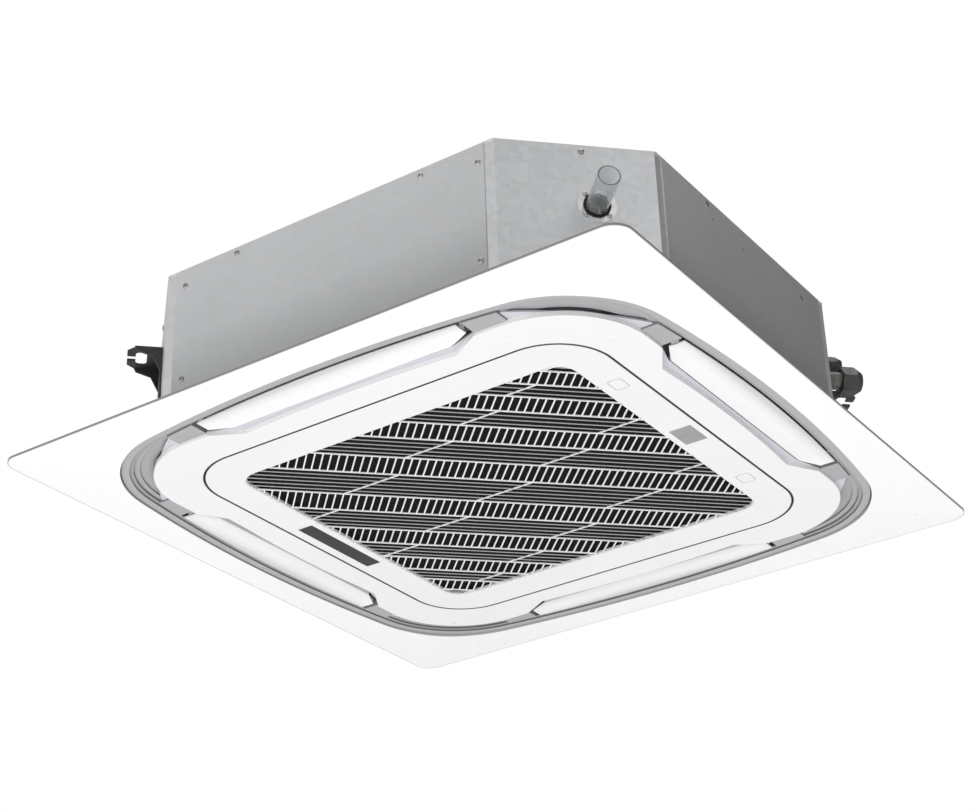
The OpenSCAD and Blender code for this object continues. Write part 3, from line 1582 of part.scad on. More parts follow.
casing_top();
wall_right();
wall_back();
wall_left();
wall_front();
drain_corner_plate();
side_corner_plates();
piping_corner_plate();
casing_screws();
foam_liner();
drain_pan();
bell_mouth();
coil_fins();
coil_end_plates();
coil_pipes();
fan_motor();
motor_bracket();
fan_wheel();
fan_shaft();
fan_nut();
control_box();
control_box_lid();
control_board();
terminal_block();
drain_pump();
pump_impeller();
pump_float();
drain_flange();
drain_gasket();
drain_tube();
pipe_unions();
gas_flare_nut();
liquid_flare_nut();
rubber_grommets();
hanger_brackets();
panel_frame();
panel_seal();
support_frame();
outlet_ring();
corner_mouldings();
inner_duct_ring();
inner_surround();
louvre_motors();
panel_bolts();
grille_frame();
grille_lattice();
filter_frame();
filter_mesh();
display_window();
display_board();
badge_plate();
hinge_arms();
louvre_right();
louvre_back();
louvre_left();
louvre_front();
latch_button_left();
latch_button_right();
latch_tongue_left();
latch_tongue_right();
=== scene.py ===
import bpy
import bmesh
import math
from mathutils import Vector, Matrix


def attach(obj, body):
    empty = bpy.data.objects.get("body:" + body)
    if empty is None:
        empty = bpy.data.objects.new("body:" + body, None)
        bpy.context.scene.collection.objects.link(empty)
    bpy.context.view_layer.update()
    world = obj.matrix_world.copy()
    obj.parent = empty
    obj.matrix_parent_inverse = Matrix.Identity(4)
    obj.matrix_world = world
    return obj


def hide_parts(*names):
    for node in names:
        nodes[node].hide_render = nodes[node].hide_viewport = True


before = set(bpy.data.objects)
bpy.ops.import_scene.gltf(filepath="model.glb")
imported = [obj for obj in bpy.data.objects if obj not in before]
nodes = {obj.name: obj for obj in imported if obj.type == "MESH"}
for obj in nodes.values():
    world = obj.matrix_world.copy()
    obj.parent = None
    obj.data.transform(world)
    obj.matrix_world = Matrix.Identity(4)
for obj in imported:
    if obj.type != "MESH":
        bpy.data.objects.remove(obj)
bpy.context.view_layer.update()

MM = 0.001
X, Y, Z = range(3)

# Sizes in mm, the same as in the CAD model. Heights are counted up from the panel's rim plane.
# The frame's origin is HANG above that plane
HANG = 170.0
PANEL_HALF, PANEL_R = 475.0, 26.0
GRILLE_HALF, GRILLE_R, GRILLE_GAP = 309.75, 82.0, 1.75
# The latch buttons: half width, half depth and corner radius, then the pair's place in plan
LATCH = (12.5, 9.75, 4.0, 164.5, -282.625)

# The lattice: slats in bands along one diagonal, with short bars between the bands
OPEN_W, OPEN_D, OPEN_R = 507.0, 519.0, 30.0
SLAT_PITCH = 11.0
BANDS = (6, 5, 4, 3, 2)  # slat spaces in each band, from the middle out
BAR_BAND, BAR_STEP = 50.0, 5.0  # width of the first band of bars, and how much each next one loses
RIB_PITCH = 182.0
BAR_PITCH = RIB_PITCH / 17
BARS_EACH_WAY, RIBS_EACH_WAY = 51, 4
BAR_W, SLAT_W, RIB_W = 1.9, 1.2, 1.5
LAT_LO, LAT_HI = -3.0, 1.2
SLAT_HI, BAR_HI = -1.9, -1.3  # the tops of the slats and of the short bars
RIB_PROUD = 0.1  # how far the ribs stand below the bars
END_INSET, RIM_OUTER, RIM_INNER = 0.5, 0.3, 1.5  # from the opening's edge
EDGE_ROUND = 0.35
BEYOND = 420.0  # further along a diagonal than the opening reaches

# The louvres: the pivot axis, the blade's plan and section, its lip, and its ribs with their pins
AXIS_Y, AXIS_Z = 385.0, 12.9
BLADE_HALF, BLADE_CUT_X, BLADE_CUT_Y = 201.0, 31.5, 15.5
BLADE_IN, BLADE_OUT, BLADE_BOW = 360.8, 408.3, 2025.0
BLADE_Z, BLADE_T, BLADE_HOLLOW, BLADE_ROLL = 0.5, 1.8, 1.7, 0.6
HOLLOW_FADE = 20.0  # the length at each end over which the hollow runs out
HOLLOW_BACK = 0.6  # the share of the hollow that the blade's back follows
END_STEP = 0.6
LIP_R, LIP_T, LIP_H = 27.2, 2.0, 8.0
RIB_T, BOSS_R, FOOT_OUT, PIN_R, PIN_OUT = 3.0, 3.8, 2.0, 2.5, 12.8


# Parts of materials. Colour, gloss and bump come from nodes that read the object's own coordinates

def new_material(name):
    material = bpy.data.materials.new(name)
    material.use_nodes = True
    nt = material.node_tree
    nt.nodes.clear()
    out = nt.nodes.new("ShaderNodeOutputMaterial")
    shader = nt.nodes.new("ShaderNodeBsdfPrincipled")
    nt.links.new(shader.outputs[0], out.inputs[0])
    return material, nt, shader


def coords(nt, scale=(1, 1, 1)):
    source = nt.nodes.new("ShaderNodeTexCoord")
    mapping = nt.nodes.new("ShaderNodeMapping")
    mapping.inputs["Scale"].default_value = scale
    nt.links.new(source.outputs["Object"], mapping.inputs["Vector"])
    return mapping.outputs[0]


def noise(nt, vector, scale, detail=3.0, roughness=0.5):
    node = nt.nodes.new("ShaderNodeTexNoise")
    node.inputs["Scale"].default_value = scale
    node.inputs["Detail"].default_value = detail
    node.inputs["Roughness"].default_value = roughness
    nt.links.new(vector, node.inputs["Vector"])
    return node.outputs["Fac"]


def cells(nt, vector, scale):
    node = nt.nodes.new("ShaderNodeTexVoronoi")
    node.inputs["Scale"].default_value = scale
    nt.links.new(vector, node.inputs["Vector"])
    return node


def bricks(nt, vector, scale, mortar, colors):
    """A grid of two brick colours and a mortar colour; mortar is its width."""
    node = nt.nodes.new("ShaderNodeTexBrick")
    node.inputs["Scale"].default_value = scale
    node.inputs["Mortar Size"].default_value = mortar
    for socket, color in zip(("Color1", "Color2", "Mortar"), colors):
        node.inputs[socket].default_value = (*color, 1)
    nt.links.new(vector, node.inputs["Vector"])
    return node


def ramp(nt, fac, stops):
    """Greys or colours over fac: stops are pairs of a place and a grey or a colour."""
    node = nt.nodes.new("ShaderNodeValToRGB")
    elements = node.color_ramp.elements
    while len(elements) < len(stops):
        elements.new(0.5)
    for element, (position, c) in zip(elements, stops):
        element.position = position
        element.color = (c, c, c, 1) if isinstance(c, (int, float)) else (*c, 1)
    nt.links.new(fac, node.inputs["Fac"])
    return node.outputs["Color"]


def paint(nt, shader, socket, fac, stops):
    nt.links.new(ramp(nt, fac, stops), shader.inputs[socket])


def mix_color(nt, a, b, factor, blend="MIX"):
    node = nt.nodes.new("ShaderNodeMix")
    node.data_type = "RGBA"
    node.blend_type = blend
    node.inputs["Factor"].default_value = factor
    nt.links.new(a, node.inputs["A"])
    nt.links.new(b, node.inputs["B"])
    return node.outputs["Result"]


def bump(nt, shader, height, strength, distance, before=None):
    """Bump of distance metres on a shader, on top of an earlier bump if there is one."""
    node = nt.nodes.new("ShaderNodeBump")
    node.inputs["Strength"].default_value = strength
    node.inputs["Distance"].default_value = distance
    nt.links.new(height, node.inputs["Height"])
    if before is not None:
        nt.links.new(before, node.inputs["Normal"])
    nt.links.new(node.outputs[0], shader.inputs["Normal"])
    return node.outputs[0]


def shade(color, k):
    return tuple(min(1.0, max(0.0, v * k)) for v in color)


def grey(v):
    return v, v, v


# Kinds of material

def plastic(name, color, rough=0.35, vary=0.03, grain=900, depth=0.00004, coat=0.0, spec=0.5):
    """Moulded plastic: faint clouds in the colour, uneven gloss, a fine grain depth metres deep."""
    material, nt, shader = new_material(name)
    v = coords(nt)
    paint(nt, shader, "Base Color", noise(nt, v, scale=6, detail=4),
          [(0.3, shade(color, 1 - vary)), (0.7, shade(color, 1 + vary / 2))])
    paint(nt, shader, "Roughness", noise(nt, v, scale=40, detail=5),
          [(0.3, rough * 0.85), (0.75, min(1, rough * 1.2))])
    shader.inputs["Specular IOR Level"].default_value = spec
    shader.inputs["Coat Weight"].default_value = coat
    shader.inputs["Coat Roughness"].default_value = 0.12
    bump(nt, shader, noise(nt, v, scale=grain, detail=2), 0.25, depth)
    return material


def galvanised(name, color, rough=0.38, spangle=0.08, streak=(1, 1, 6), cloud=0.11):
    """Galvanised sheet: zinc flakes, soft clouds, streaks in the gloss, a slight waviness."""
    material, nt, shader = new_material(name)
    v = coords(nt)
    tone = nt.nodes.new("ShaderNodeSeparateColor")
    nt.links.new(cells(nt, v, scale=110).outputs["Color"], tone.inputs[0])
    flakes = ramp(nt, tone.outputs[0],
                  [(0.0, shade(color, 1 - spangle)), (1.0, shade(color, 1 + spangle))])
    clouds = ramp(nt, noise(nt, v, scale=5, detail=6, roughness=0.6),
                  [(0.3, shade(color, 1 - cloud)), (0.72, shade(color, 1 + 0.6 * cloud))])
    nt.links.new(mix_color(nt, flakes, clouds, 0.55), shader.inputs["Base Color"])
    shader.inputs["Metallic"].default_value = 0.9
    paint(nt, shader, "Roughness", noise(nt, coords(nt, streak), scale=60, detail=5),
          [(0.3, rough * 0.8), (0.75, rough * 1.25)])
    fine = bump(nt, shader, noise(nt, v, scale=700, detail=2), 0.12, 0.00005)
    bump(nt, shader, noise(nt, v, scale=7), 0.25, 0.0012, fine)
    return material


def metal(name, color, rough=0.3, metallic=1.0, wear=0.2, grain=400):
    """Bare or coated metal: worn patches in the colour, uneven gloss, a fine grain."""
    material, nt, shader = new_material(name)
    v = coords(nt)
    paint(nt, shader, "Base Color", noise(nt, v, scale=60, detail=5, roughness=0.6),
          [(0.35, shade(color, 1 - wear)), (0.7, shade(color, 1 + wear / 2))])
    shader.inputs["Metallic"].default_value = metallic
    paint(nt, shader, "Roughness", noise(nt, v, scale=150, detail=4),
          [(0.3, rough * 0.8), (0.8, min(1, rough * 1.4))])
    bump(nt, shader, noise(nt, v, scale=grain), 0.3, 0.00008)
    return material


def foam(name, color):
    """Foam with open cells."""
    material, nt, shader = new_material(name)
    pores = cells(nt, coords(nt), scale=260).outputs["Distance"]
    paint(nt, shader, "Base Color", pores, [(0.0, shade(color, 1.06)), (0.7, shade(color, 0.85))])
    shader.inputs["Roughness"].default_value = 0.85
    bump(nt, shader, pores, 0.5, 0.0004)
    return material


def board(name):
    """Circuit board: green fields between raised tracks."""
    material, nt, shader = new_material(name)
    v = coords(nt)
    tracks = bricks(nt, v, 160, 0.03, ((0.02, 0.16, 0.07), (0.03, 0.2, 0.09), (0.35, 0.3, 0.12)))
    nt.links.new(tracks.outputs["Color"], shader.inputs["Base Color"])
    paint(nt, shader, "Roughness", noise(nt, v, scale=80), [(0.3, 0.3), (0.8, 0.5)])
    bump(nt, shader, tracks.outputs["Fac"], 0.4, 0.0001)
    return material


def fins(name, color):
    """A pack of thin coated fins, with painted shade between them."""
    material, nt, shader = new_material(name)
    v = coords(nt)
    wave = nt.nodes.new("ShaderNodeTexWave")
    wave.bands_direction = "DIAGONAL"
    wave.inputs["Scale"].default_value = 200
    wave.inputs["Distortion"].default_value = 0.15
    nt.links.new(v, wave.inputs["Vector"])
    paint(nt, shader, "Base Color", wave.outputs["Fac"], [(0.2, shade(color, 0.3)), (0.7, color)])
    shader.inputs["Metallic"].default_value = 0.8
    paint(nt, shader, "Roughness", noise(nt, v, scale=90), [(0.3, 0.35), (0.8, 0.55)])
    bump(nt, shader, wave.outputs["Fac"], 0.7, 0.0006)
    return material


def clear_pipe(name):
    """Clear hard tube, with slight haze and flow marks."""
    material, nt, shader = new_material(name)
    v = coords(nt)
    paint(nt, shader, "Base Color", noise(nt, v, scale=50, detail=4),
          [(0.3, (0.80, 0.82, 0.83)), (0.75, (0.93, 0.94, 0.95))])
    shader.inputs["Transmission Weight"].default_value = 0.93
    shader.inputs["IOR"].default_value = 1.46
    paint(nt, shader, "Roughness", noise(nt, v, scale=120, detail=4), [(0.3, 0.03), (0.8, 0.14)])
    bump(nt, shader, noise(nt, v, scale=90), 0.1, 0.0003)
    return material


def net(name):
    """Black filter net: square openings between fine threads."""
    material, nt, shader = new_material(name)
    weave = bricks(nt, coords(nt), 190, 0.06, (grey(0.003), grey(0.004), grey(0.02)))
    weave.offset = 0.0
    weave.inputs["Brick Width"].default_value = 0.5
    weave.inputs["Row Height"].default_value = 0.5
    nt.links.new(weave.outputs["Color"], shader.inputs["Base Color"])
    shader.inputs["Roughness"].default_value = 0.9
    shader.inputs["Specular IOR Level"].default_value = 0.1
    bump(nt, shader, weave.outputs["Fac"], 0.4, 0.0003)
    return material


ZINC = (0.66, 0.67, 0.68)
MAT = {
    "wall": galvanised("galvanised_wall", ZINC, 0.34, spangle=0.03, streak=(1, 1, 8), cloud=0.06),
    # the front wall's copy of the same sheet is lighter, painted light, and its painted shade along
    # its length comes below
    "wall_front": galvanised("galvanised_front_painted_light_and_shade", (0.85, 0.86, 0.87), 0.34, spangle=0.03,
                             streak=(1, 1, 8), cloud=0.06),
    "plate": galvanised("galvanised_plate", ZINC, 0.42, spangle=0.10),
    "screw": metal("screw_zinc", (0.42, 0.42, 0.43), 0.22, wear=0.3),
    "zinc": metal("bright_zinc", (0.75, 0.75, 0.76), 0.25),
    "lug": metal("black_coated_steel", (0.035, 0.035, 0.038), 0.45, metallic=0.3, wear=0.3),
    "copper": metal("copper_pipe", (0.72, 0.36, 0.22), 0.3),
    "motor": metal("motor_grey", (0.12, 0.125, 0.13), 0.5, metallic=0.4),
    "steel": metal("ground_steel", (0.62, 0.62, 0.63), 0.22),
    "brass": metal("brass_fitting", (0.62, 0.46, 0.22), 0.32),
    "fitting": metal("dark_fitting", (0.10, 0.10, 0.105), 0.42, metallic=0.75, wear=0.35),
    "union": metal("union_olive", (0.17, 0.165, 0.15), 0.45, metallic=0.7, wear=0.35),
    "badge": metal("badge_grey", (0.33, 0.33, 0.335), 0.4, metallic=0.2, wear=0.06, grain=600),
    "foam_dark": foam("dark_foam", (0.05, 0.05, 0.055)),
    "foam_white": foam("white_foam", (0.82, 0.82, 0.80)),
    "fins": fins("coated_fins", (0.55, 0.66, 0.78)),
    "board": board("circuit_board"),
    "clear": clear_pipe("clear_tube"),
    "mesh": net("filter_net"),
    "moulding": plastic("white_moulding", (0.83, 0.83, 0.82), 0.45),
    "terminal": plastic("terminal_cream", (0.78, 0.74, 0.60), 0.5),
    "pump": plastic("pump_grey", (0.60, 0.61, 0.62), 0.4),
    "float": plastic("float_orange", (0.80, 0.22, 0.05), 0.45),
    "rubber": plastic("black_rubber", grey(0.015), 0.7, 0.2, grain=500, depth=0.0002, spec=0.25),
    "filter": plastic("filter_black", grey(0.004), 0.8, 0.2, grain=500, depth=0.0002, spec=0.1),
    "window": plastic("window_dark", (0.022, 0.022, 0.024), 0.14, 0.06, grain=300, depth=0.00002,
                      spec=0.2),
    "panel": plastic("panel_white", grey(0.85), 0.32, 0.012),
    "ring": plastic("ring_grey", (0.385, 0.385, 0.39), 0.4, 0.05),
    "bridge": plastic("bridge_grey", (0.37, 0.37, 0.38), 0.5, 0.05),
    "ledge": plastic("ledge_lilac", (0.55, 0.55, 0.60), 0.45, 0.03),
    "surround": plastic("surround_white", grey(0.78), 0.32, 0.012),
    "louvre": plastic("louvre_white", grey(0.82), 0.16, 0.01, grain=600, depth=0.00002, coat=0.4),
    "frame": plastic("grille_frame_white", grey(0.77), 0.38, 0.015),
    "latch": plastic("latch_white", grey(0.77), 0.38, 0.015),
    "grille": plastic("grille_white", grey(0.80), 0.38, 0.015),
    "bar": plastic("lattice_bar", grey(0.80), 0.42, 0.04),
    # the slats are the bars' white plastic, made grey as painted shade on their sides
    "slat": plastic("lattice_slat_painted_shade", grey(0.42), 0.5, 0.08),
}


# Tints: painted shade on shadowed steps, and painted shadow along the fine lines of the gaps, both
# by measures on the object

def math_node(nt, operation, *values):
    node = nt.nodes.new("ShaderNodeMath")
    node.operation = operation
    for socket, value in zip(node.inputs, values):
        if isinstance(value, (int, float)):
            socket.default_value = value
        else:
            nt.links.new(value, socket)
    return node.outputs[0]


def axes(nt, output="Object"):
    source = nt.nodes.new("ShaderNodeTexCoord")
    parts = nt.nodes.new("ShaderNodeSeparateXYZ")
    nt.links.new(source.outputs[output], parts.inputs[0])
    return parts.outputs


def place(nt, axis):
    """A point's place along an axis of the frame, in mm."""
    return math_node(nt, "MULTIPLY", axes(nt)[axis], 1000.0)


def steepness(nt):
    """0 on upright walls, 1 on faces that look straight up or down."""
    return math_node(nt, "ABSOLUTE", axes(nt, "Normal")[Z])


def edge_distance(nt, half_x, half_y, r, mid_x=0.0, mid_y=0.0):
    """Distance in mm from a rounded rectangle's edge in plan, less than 0 inside.

    With mid_x there are two rectangles, at plus and minus mid_x.
    """
    at = axes(nt)
    x = math_node(nt, "SUBTRACT", math_node(nt, "ABSOLUTE", at[X]), mid_x * MM)
    y = math_node(nt, "SUBTRACT", at[Y], mid_y * MM)
    x = math_node(nt, "SUBTRACT", math_node(nt, "ABSOLUTE", x), (half_x - r) * MM)
    y = math_node(nt, "SUBTRACT", math_node(nt, "ABSOLUTE", y), (half_y - r) * MM)
    out_x, out_y = (math_node(nt, "MAXIMUM", v, 0.0) for v in (x, y))
    squares = [math_node(nt, "MULTIPLY", v, v) for v in (out_x, out_y)]
    away = math_node(nt, "SQRT", math_node(nt, "ADD", *squares))
    within = math_node(nt, "MINIMUM", math_node(nt, "MAXIMUM", x, y), 0.0)
    distance = math_node(nt, "SUBTRACT", math_node(nt, "ADD", away, within), r * MM)
    return math_node(nt, "MULTIPLY", distance, 1000.0)


def near_face(nt, distance, rise):
    """A distance that changes by rise for each mm above the lowest 3: a line stays on the face."""
    above = math_node(nt, "MAXIMUM", math_node(nt, "ADD", place(nt, Z), HANG - 3.0), 0.0)
    return math_node(nt, "ADD", distance, math_node(nt, "MULTIPLY", above, rise))


def height(nt):
    return place(nt, Z)


def width(nt):
    return place(nt, X)


def panel_edge(nt):
    return edge_distance(nt, PANEL_HALF, PANEL_HALF, PANEL_R)


def grille_edge(nt):
    return near_face(nt, edge_distance(nt, GRILLE_HALF, GRILLE_HALF, GRILLE_R), -1.0)


def surround_edge(nt):
    half = GRILLE_HALF + GRILLE_GAP
    return near_face(nt, edge_distance(nt, half, half, GRILLE_R + GRILLE_GAP), 1.0)


def latch_edge(nt):
    return edge_distance(nt, *LATCH)


def blade_depth(nt):
    return edge_distance(nt, BLADE_IN, BLADE_IN, 1.0)


def tint(key, measure, lo, hi, stops):
    """Multiplies a material's colour by greys over a measure; the ramp covers lo to hi."""
    nt = MAT[key].node_tree
    shader = next(n for n in nt.nodes if n.type == "BSDF_PRINCIPLED")
    base = shader.inputs["Base Color"]
    part = math_node(nt, "DIVIDE", math_node(nt, "SUBTRACT", measure(nt), lo), hi - lo)
    greys = ramp(nt, part, [((p - lo) / (hi - lo), c) for p, c in stops])
    nt.links.new(mix_color(nt, base.links[0].from_socket, greys, 1.0, "MULTIPLY"), base)


# Steep faces of the mouldings lie in shade
tint("ring", steepness, 0.0, 1.0, [(0.3, 0.42), (0.85, 1.0)])
tint("bridge", steepness, 0.0, 1.0, [(0.3, 0.6), (0.85, 1.0)])
tint("ledge", steepness, 0.0, 1.0, [(0.3, 0.8), (0.85, 1.0)])
tint("panel", steepness, 0.0, 1.0, [(0.3, 0.5), (0.8, 1.0)])
# Painted shade in the ring's recessed bands, and a painted shade line along the panel's rim
tint("ring", height, -172.0, -160.0, [(-168.6, 1.0), (-168.0, 0.84)])
tint("panel", panel_edge, -4.0, 0.0, [(-1.8, 1.0), (-0.9, 0.5)])
# Painted shade: the casing's walls darken towards the ceiling line, and the front wall along its
# length
for key in ("wall", "wall_front"):
    tint(key, height, -160.0, 50.0, [(-150.0, 0.58), (-50.0, 0.92), (30.0, 1.0)])
tint("wall_front", width, -420.0, 420.0, [(-330.0, 1.0), (0.0, 0.78), (330.0, 0.56)])
# Painted shadow in the gap round the grille, on both its sides, and in the gaps round the latch
# buttons
tint("frame", grille_edge, -3.0, 0.0, [(-1.3, 1.0), (-0.7, 0.12)])
tint("surround", surround_edge, 0.0, 3.0, [(0.7, 0.12), (1.3, 1.0)])
tint("frame", latch_edge, 0.0, 2.0, [(0.0, 0.6), (0.5, 0.7), (0.9, 1.0)])
tint("latch", latch_edge, -2.0, 0.5, [(-0.9, 1.0), (-0.4, 0.6)])
# Painted shade on the louvres' inner edge and on the far side of their hollow
tint("louvre", blade_depth, 0.0, 44.0,
     [(0.0, 0.62), (1.4, 0.97), (22.0, 1.0), (34.0, 0.9), (42.0, 0.7)])

# Which node of the CAD model has which material
LOOK = {
    "wall": ("wall_right", "wall_back", "wall_left"),
    "wall_front": ("wall_front",),
    "plate": ("casing_top", "drain_corner_plate", "side_corner_plates", "piping_corner_plate",
              "coil_end_plates", "motor_bracket", "control_box", "control_box_lid",
              "support_frame"),
    "screw": ("casing_screws",),
    "zinc": ("drain_flange", "panel_bolts"),
    "lug": ("hanger_brackets",),
    "copper": ("coil_pipes",),
    "motor": ("fan_motor",),
    "steel": ("fan_shaft", "hinge_arms"),
    "brass": ("fan_nut",),
    "fitting": ("gas_flare_nut", "liquid_flare_nut"),
    "union": ("pipe_unions",),
    "badge": ("badge_plate",),
    "foam_dark": ("foam_liner", "panel_seal"),
    "foam_white": ("drain_pan",),
    "fins": ("coil_fins",),
    "board": ("control_board", "display_board"),
    "clear": ("drain_tube",),
    "mesh": ("filter_mesh",),
    "moulding": ("bell_mouth", "fan_wheel", "pump_impeller", "louvre_motors",
                 "latch_tongue_left", "latch_tongue_right"),
    "terminal": ("terminal_block",),
    "pump": ("drain_pump",),
    "float": ("pump_float",),
    "rubber": ("drain_gasket", "rubber_grommets"),
    "filter": ("filter_frame",),
    "window": ("display_window",),
    "panel": ("panel_frame",),
    "ring": ("outlet_ring",),
    "bridge": ("corner_mouldings",),
    "ledge": ("inner_duct_ring",),
    "surround": ("inner_surround",),
    "louvre": ("louvre_right", "louvre_back", "louvre_left", "louvre_front"),
    "frame": ("grille_frame",),
    "latch": ("latch_button_left", "latch_button_right"),
    "bar": ("grille_lattice",),
}
look_of = {name: key for key, names in LOOK.items() for name in names}

for name, obj in nodes.items():
    obj.data.materials.clear()
    obj.data.materials.append(MAT[look_of[name]])


# Camera: solved from the two squares of the photograph, the casing's and the panel's

FOCAL_PX, IMAGE_WIDTH, SENSOR = 2127.17, 970, 36
EYE = (-2.1751, -1.4236, -1.2740 - HANG * MM)
RIGHT = Vector((0.56761, -0.82278, -0.02932))
DOWN = Vector((0.37694, 0.29137, -0.87922))
AHEAD = Vector((0.73194, 0.48800, 0.47552))

cam = bpy.data.cameras.new("camera")
cam.sensor_width = SENSOR
cam.lens = FOCAL_PX / IMAGE_WIDTH * SENSOR
cam.clip_end = 50
cam_obj = bpy.data.objects.new("camera", cam)
bpy.context.scene.collection.objects.link(cam_obj)
turned = Matrix((RIGHT, -DOWN, -AHEAD)).transposed().to_4x4()
cam_obj.matrix_world = Matrix.Translation(EYE) @ turned
bpy.context.scene.camera = cam_obj
bpy.context.scene.view_settings.view_transform = "Standard"


# Studio: a pale floor far below, a soft sky that is brighter below and on the photo's left, a soft
# sun for the floor and the casing's top, and three lamps. Sizes in metres, power in watts

FLOOR_Z, FLOOR_HALF = -3.4, 9
SKY_BRIGHT = Vector((-0.62, 0.38, -0.68))
SKY_STEPS = [(0.0, 0.2), (0.28, 0.5), (0.61, 0.6), (0.8, 1.1), (1.0, 1.28)]
PANEL_MIDDLE = (0, 0, -0.15)
FRONT_WALL = (-0.2, -0.42, 0)


def studio_floor():
    me = bpy.data.meshes.new("studio_floor")
    bm = bmesh.new()
    bmesh.ops.create_grid(bm, x_segments=8, y_segments=8, size=FLOOR_HALF)
    bm.to_mesh(me)
    bm.free()
    o = bpy.data.objects.new("studio_floor", me)
    o.location.z = FLOOR_Z
    bpy.context.scene.collection.objects.link(o)
    me.materials.append(plastic("floor_pale", grey(0.86), 0.7, 0.01, grain=200))


def sky():
    """Light from all round, brightest from SKY_BRIGHT, behind a white background."""
    world = bpy.data.worlds.new("sky")
    bpy.context.scene.world = world
    world.use_nodes = True
    nt = world.node_tree
    nt.nodes.clear()
    direction = nt.nodes.new("ShaderNodeTexCoord")
    dot = nt.nodes.new("ShaderNodeVectorMath")
    dot.operation = "DOT_PRODUCT"
    dot.inputs[1].default_value = SKY_BRIGHT.normalized()
    nt.links.new(direction.outputs["Generated"], dot.inputs[0])
    part = math_node(nt, "MULTIPLY_ADD", dot.outputs["Value"], 0.5, 0.5)
    lit = nt.nodes.new("ShaderNodeBackground")
    nt.links.new(ramp(nt, part, SKY_STEPS), lit.inputs["Color"])
    seen = nt.nodes.new("ShaderNodeBackground")
    seen.inputs["Color"].default_value = (1, 1, 1, 1)
    path = nt.nodes.new("ShaderNodeLightPath")
    mix = nt.nodes.new("ShaderNodeMixShader")
    nt.links.new(path.outputs["Is Camera Ray"], mix.inputs[0])
    nt.links.new(lit.outputs[0], mix.inputs[1])
    nt.links.new(seen.outputs[0], mix.inputs[2])
    out = nt.nodes.new("ShaderNodeOutputWorld")
    nt.links.new(mix.outputs[0], out.inputs[0])


def overhead(strength, angle):
    light = bpy.data.lights.new("overhead", "SUN")
    light.energy = strength
    light.angle = angle
    bpy.context.scene.collection.objects.link(bpy.data.objects.new("overhead", light))


def area_light(name, spot, target, size, power):
    light = bpy.data.lights.new(name, "AREA")
    light.shape = "SQUARE"
    light.size = size
    light.energy = power
    o = bpy.data.objects.new(name, light)
    o.location = spot
    o.rotation_euler = (Vector(target) - Vector(spot)).to_track_quat("-Z", "Y").to_euler()
    bpy.context.scene.collection.objects.link(o)


studio_floor()
sky()
overhead(strength=1.1, angle=0.9)
area_light("key", (-2.6, 0.2, -2.4), PANEL_MIDDLE, size=2.2, power=50)
area_light("fill", (0.4, -1.2, -3.0), PANEL_MIDDLE, size=2.4, power=32)
area_light("side", (-0.7, -2.3, 1.0), FRONT_WALL, size=1.4, power=3.5)


# Pieces

def to_object(bm, name, material, body, smooth=False):
    bmesh.ops.recalc_face_normals(bm, faces=bm.faces)
    me = bpy.data.meshes.new(name)
    bm.to_mesh(me)
    bm.free()
    if smooth:
        me.polygons.foreach_set("use_smooth", [True] * len(me.polygons))
    o = bpy.data.objects.new(name, me)
    bpy.context.scene.collection.objects.link(o)
    me.materials.append(MAT[material])
    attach(o, body)
    return o


def loft(bm, rings):
    """A closed solid through rings of points, with a face at each end."""
    loops = [[bm.verts.new(v) for v in ring] for ring in rings]
    n = len(loops[0])
    for a, b in zip(loops, loops[1:]):
        for i in range(n):
            bm.faces.new((a[i], a[(i + 1) % n], b[(i + 1) % n], b[i]))
    bm.faces.new(loops[0][::-1])
    bm.faces.new(loops[-1])


# The grille's lattice. Its pattern is laid out by t along the slats and s across them

def plan(t, s):
    """A point of the pattern in plan: the slats run along a diagonal."""
    h = math.sqrt(0.5)
    return (t + s) * h, (s - t) * h


def band_start(k):
    """Where the band k of slats starts, across the slats."""
    s = 0.0
    for j in range(1, k + 1):
        slats = BANDS[j - 1] * SLAT_PITCH * (0.5 if j == 1 else 1)
        s += slats + BAR_BAND - (j - 1) * BAR_STEP
    return s


def rib_shift(s):
    """How far a rib has moved along the slats at s: it slants in the slat bands only."""
    moved = BANDS[0] * SLAT_PITCH / 2
    if s <= moved:
        return s
    for k in range(1, len(BANDS)):
        if s <= band_start(k):
            return moved
        wide = BANDS[k] * SLAT_PITCH
        if s <= band_start(k) + wide or k == len(BANDS) - 1:
            return moved + s - band_start(k)
        moved += wide
    return moved


def rib_at(s, rib):
    return rib * RIB_PITCH - math.copysign(rib_shift(abs(s)), s)


def rounded_rect(w, d, r, steps=8):
    points = []
    for cx, cy, start in ((1, 1, 0), (-1, 1, 90), (-1, -1, 180), (1, -1, 270)):
        for i in range(steps + 1):
            a = math.radians(start + 90 * i / steps)
            points.append((cx * (w / 2 - r) + r * math.cos(a),
                           cy * (d / 2 - r) + r * math.sin(a)))
    return points


def clip(p, q, outline, parallel=1e-9, shortest=1e-4):
    """The stretch from p to q inside a convex outline, or None."""
    lo, hi = 0.0, 1.0
    dx, dy = q[0] - p[0], q[1] - p[1]
    for i in range(len(outline)):
        a, b = outline[i], outline[(i + 1) % len(outline)]
        nx, ny = -(b[1] - a[1]), b[0] - a[0]
        den = nx * dx + ny * dy
        num = nx * (a[0] - p[0]) + ny * (a[1] - p[1])
        if abs(den) < parallel:
            if num > 0:
                return None
        elif den > 0:
            lo = max(lo, num / den)
        else:
            hi = min(hi, num / den)
    if hi - lo < shortest:
        return None
    return (p[0] + dx * lo, p[1] + dy * lo), (p[0] + dx * hi, p[1] + dy * hi)


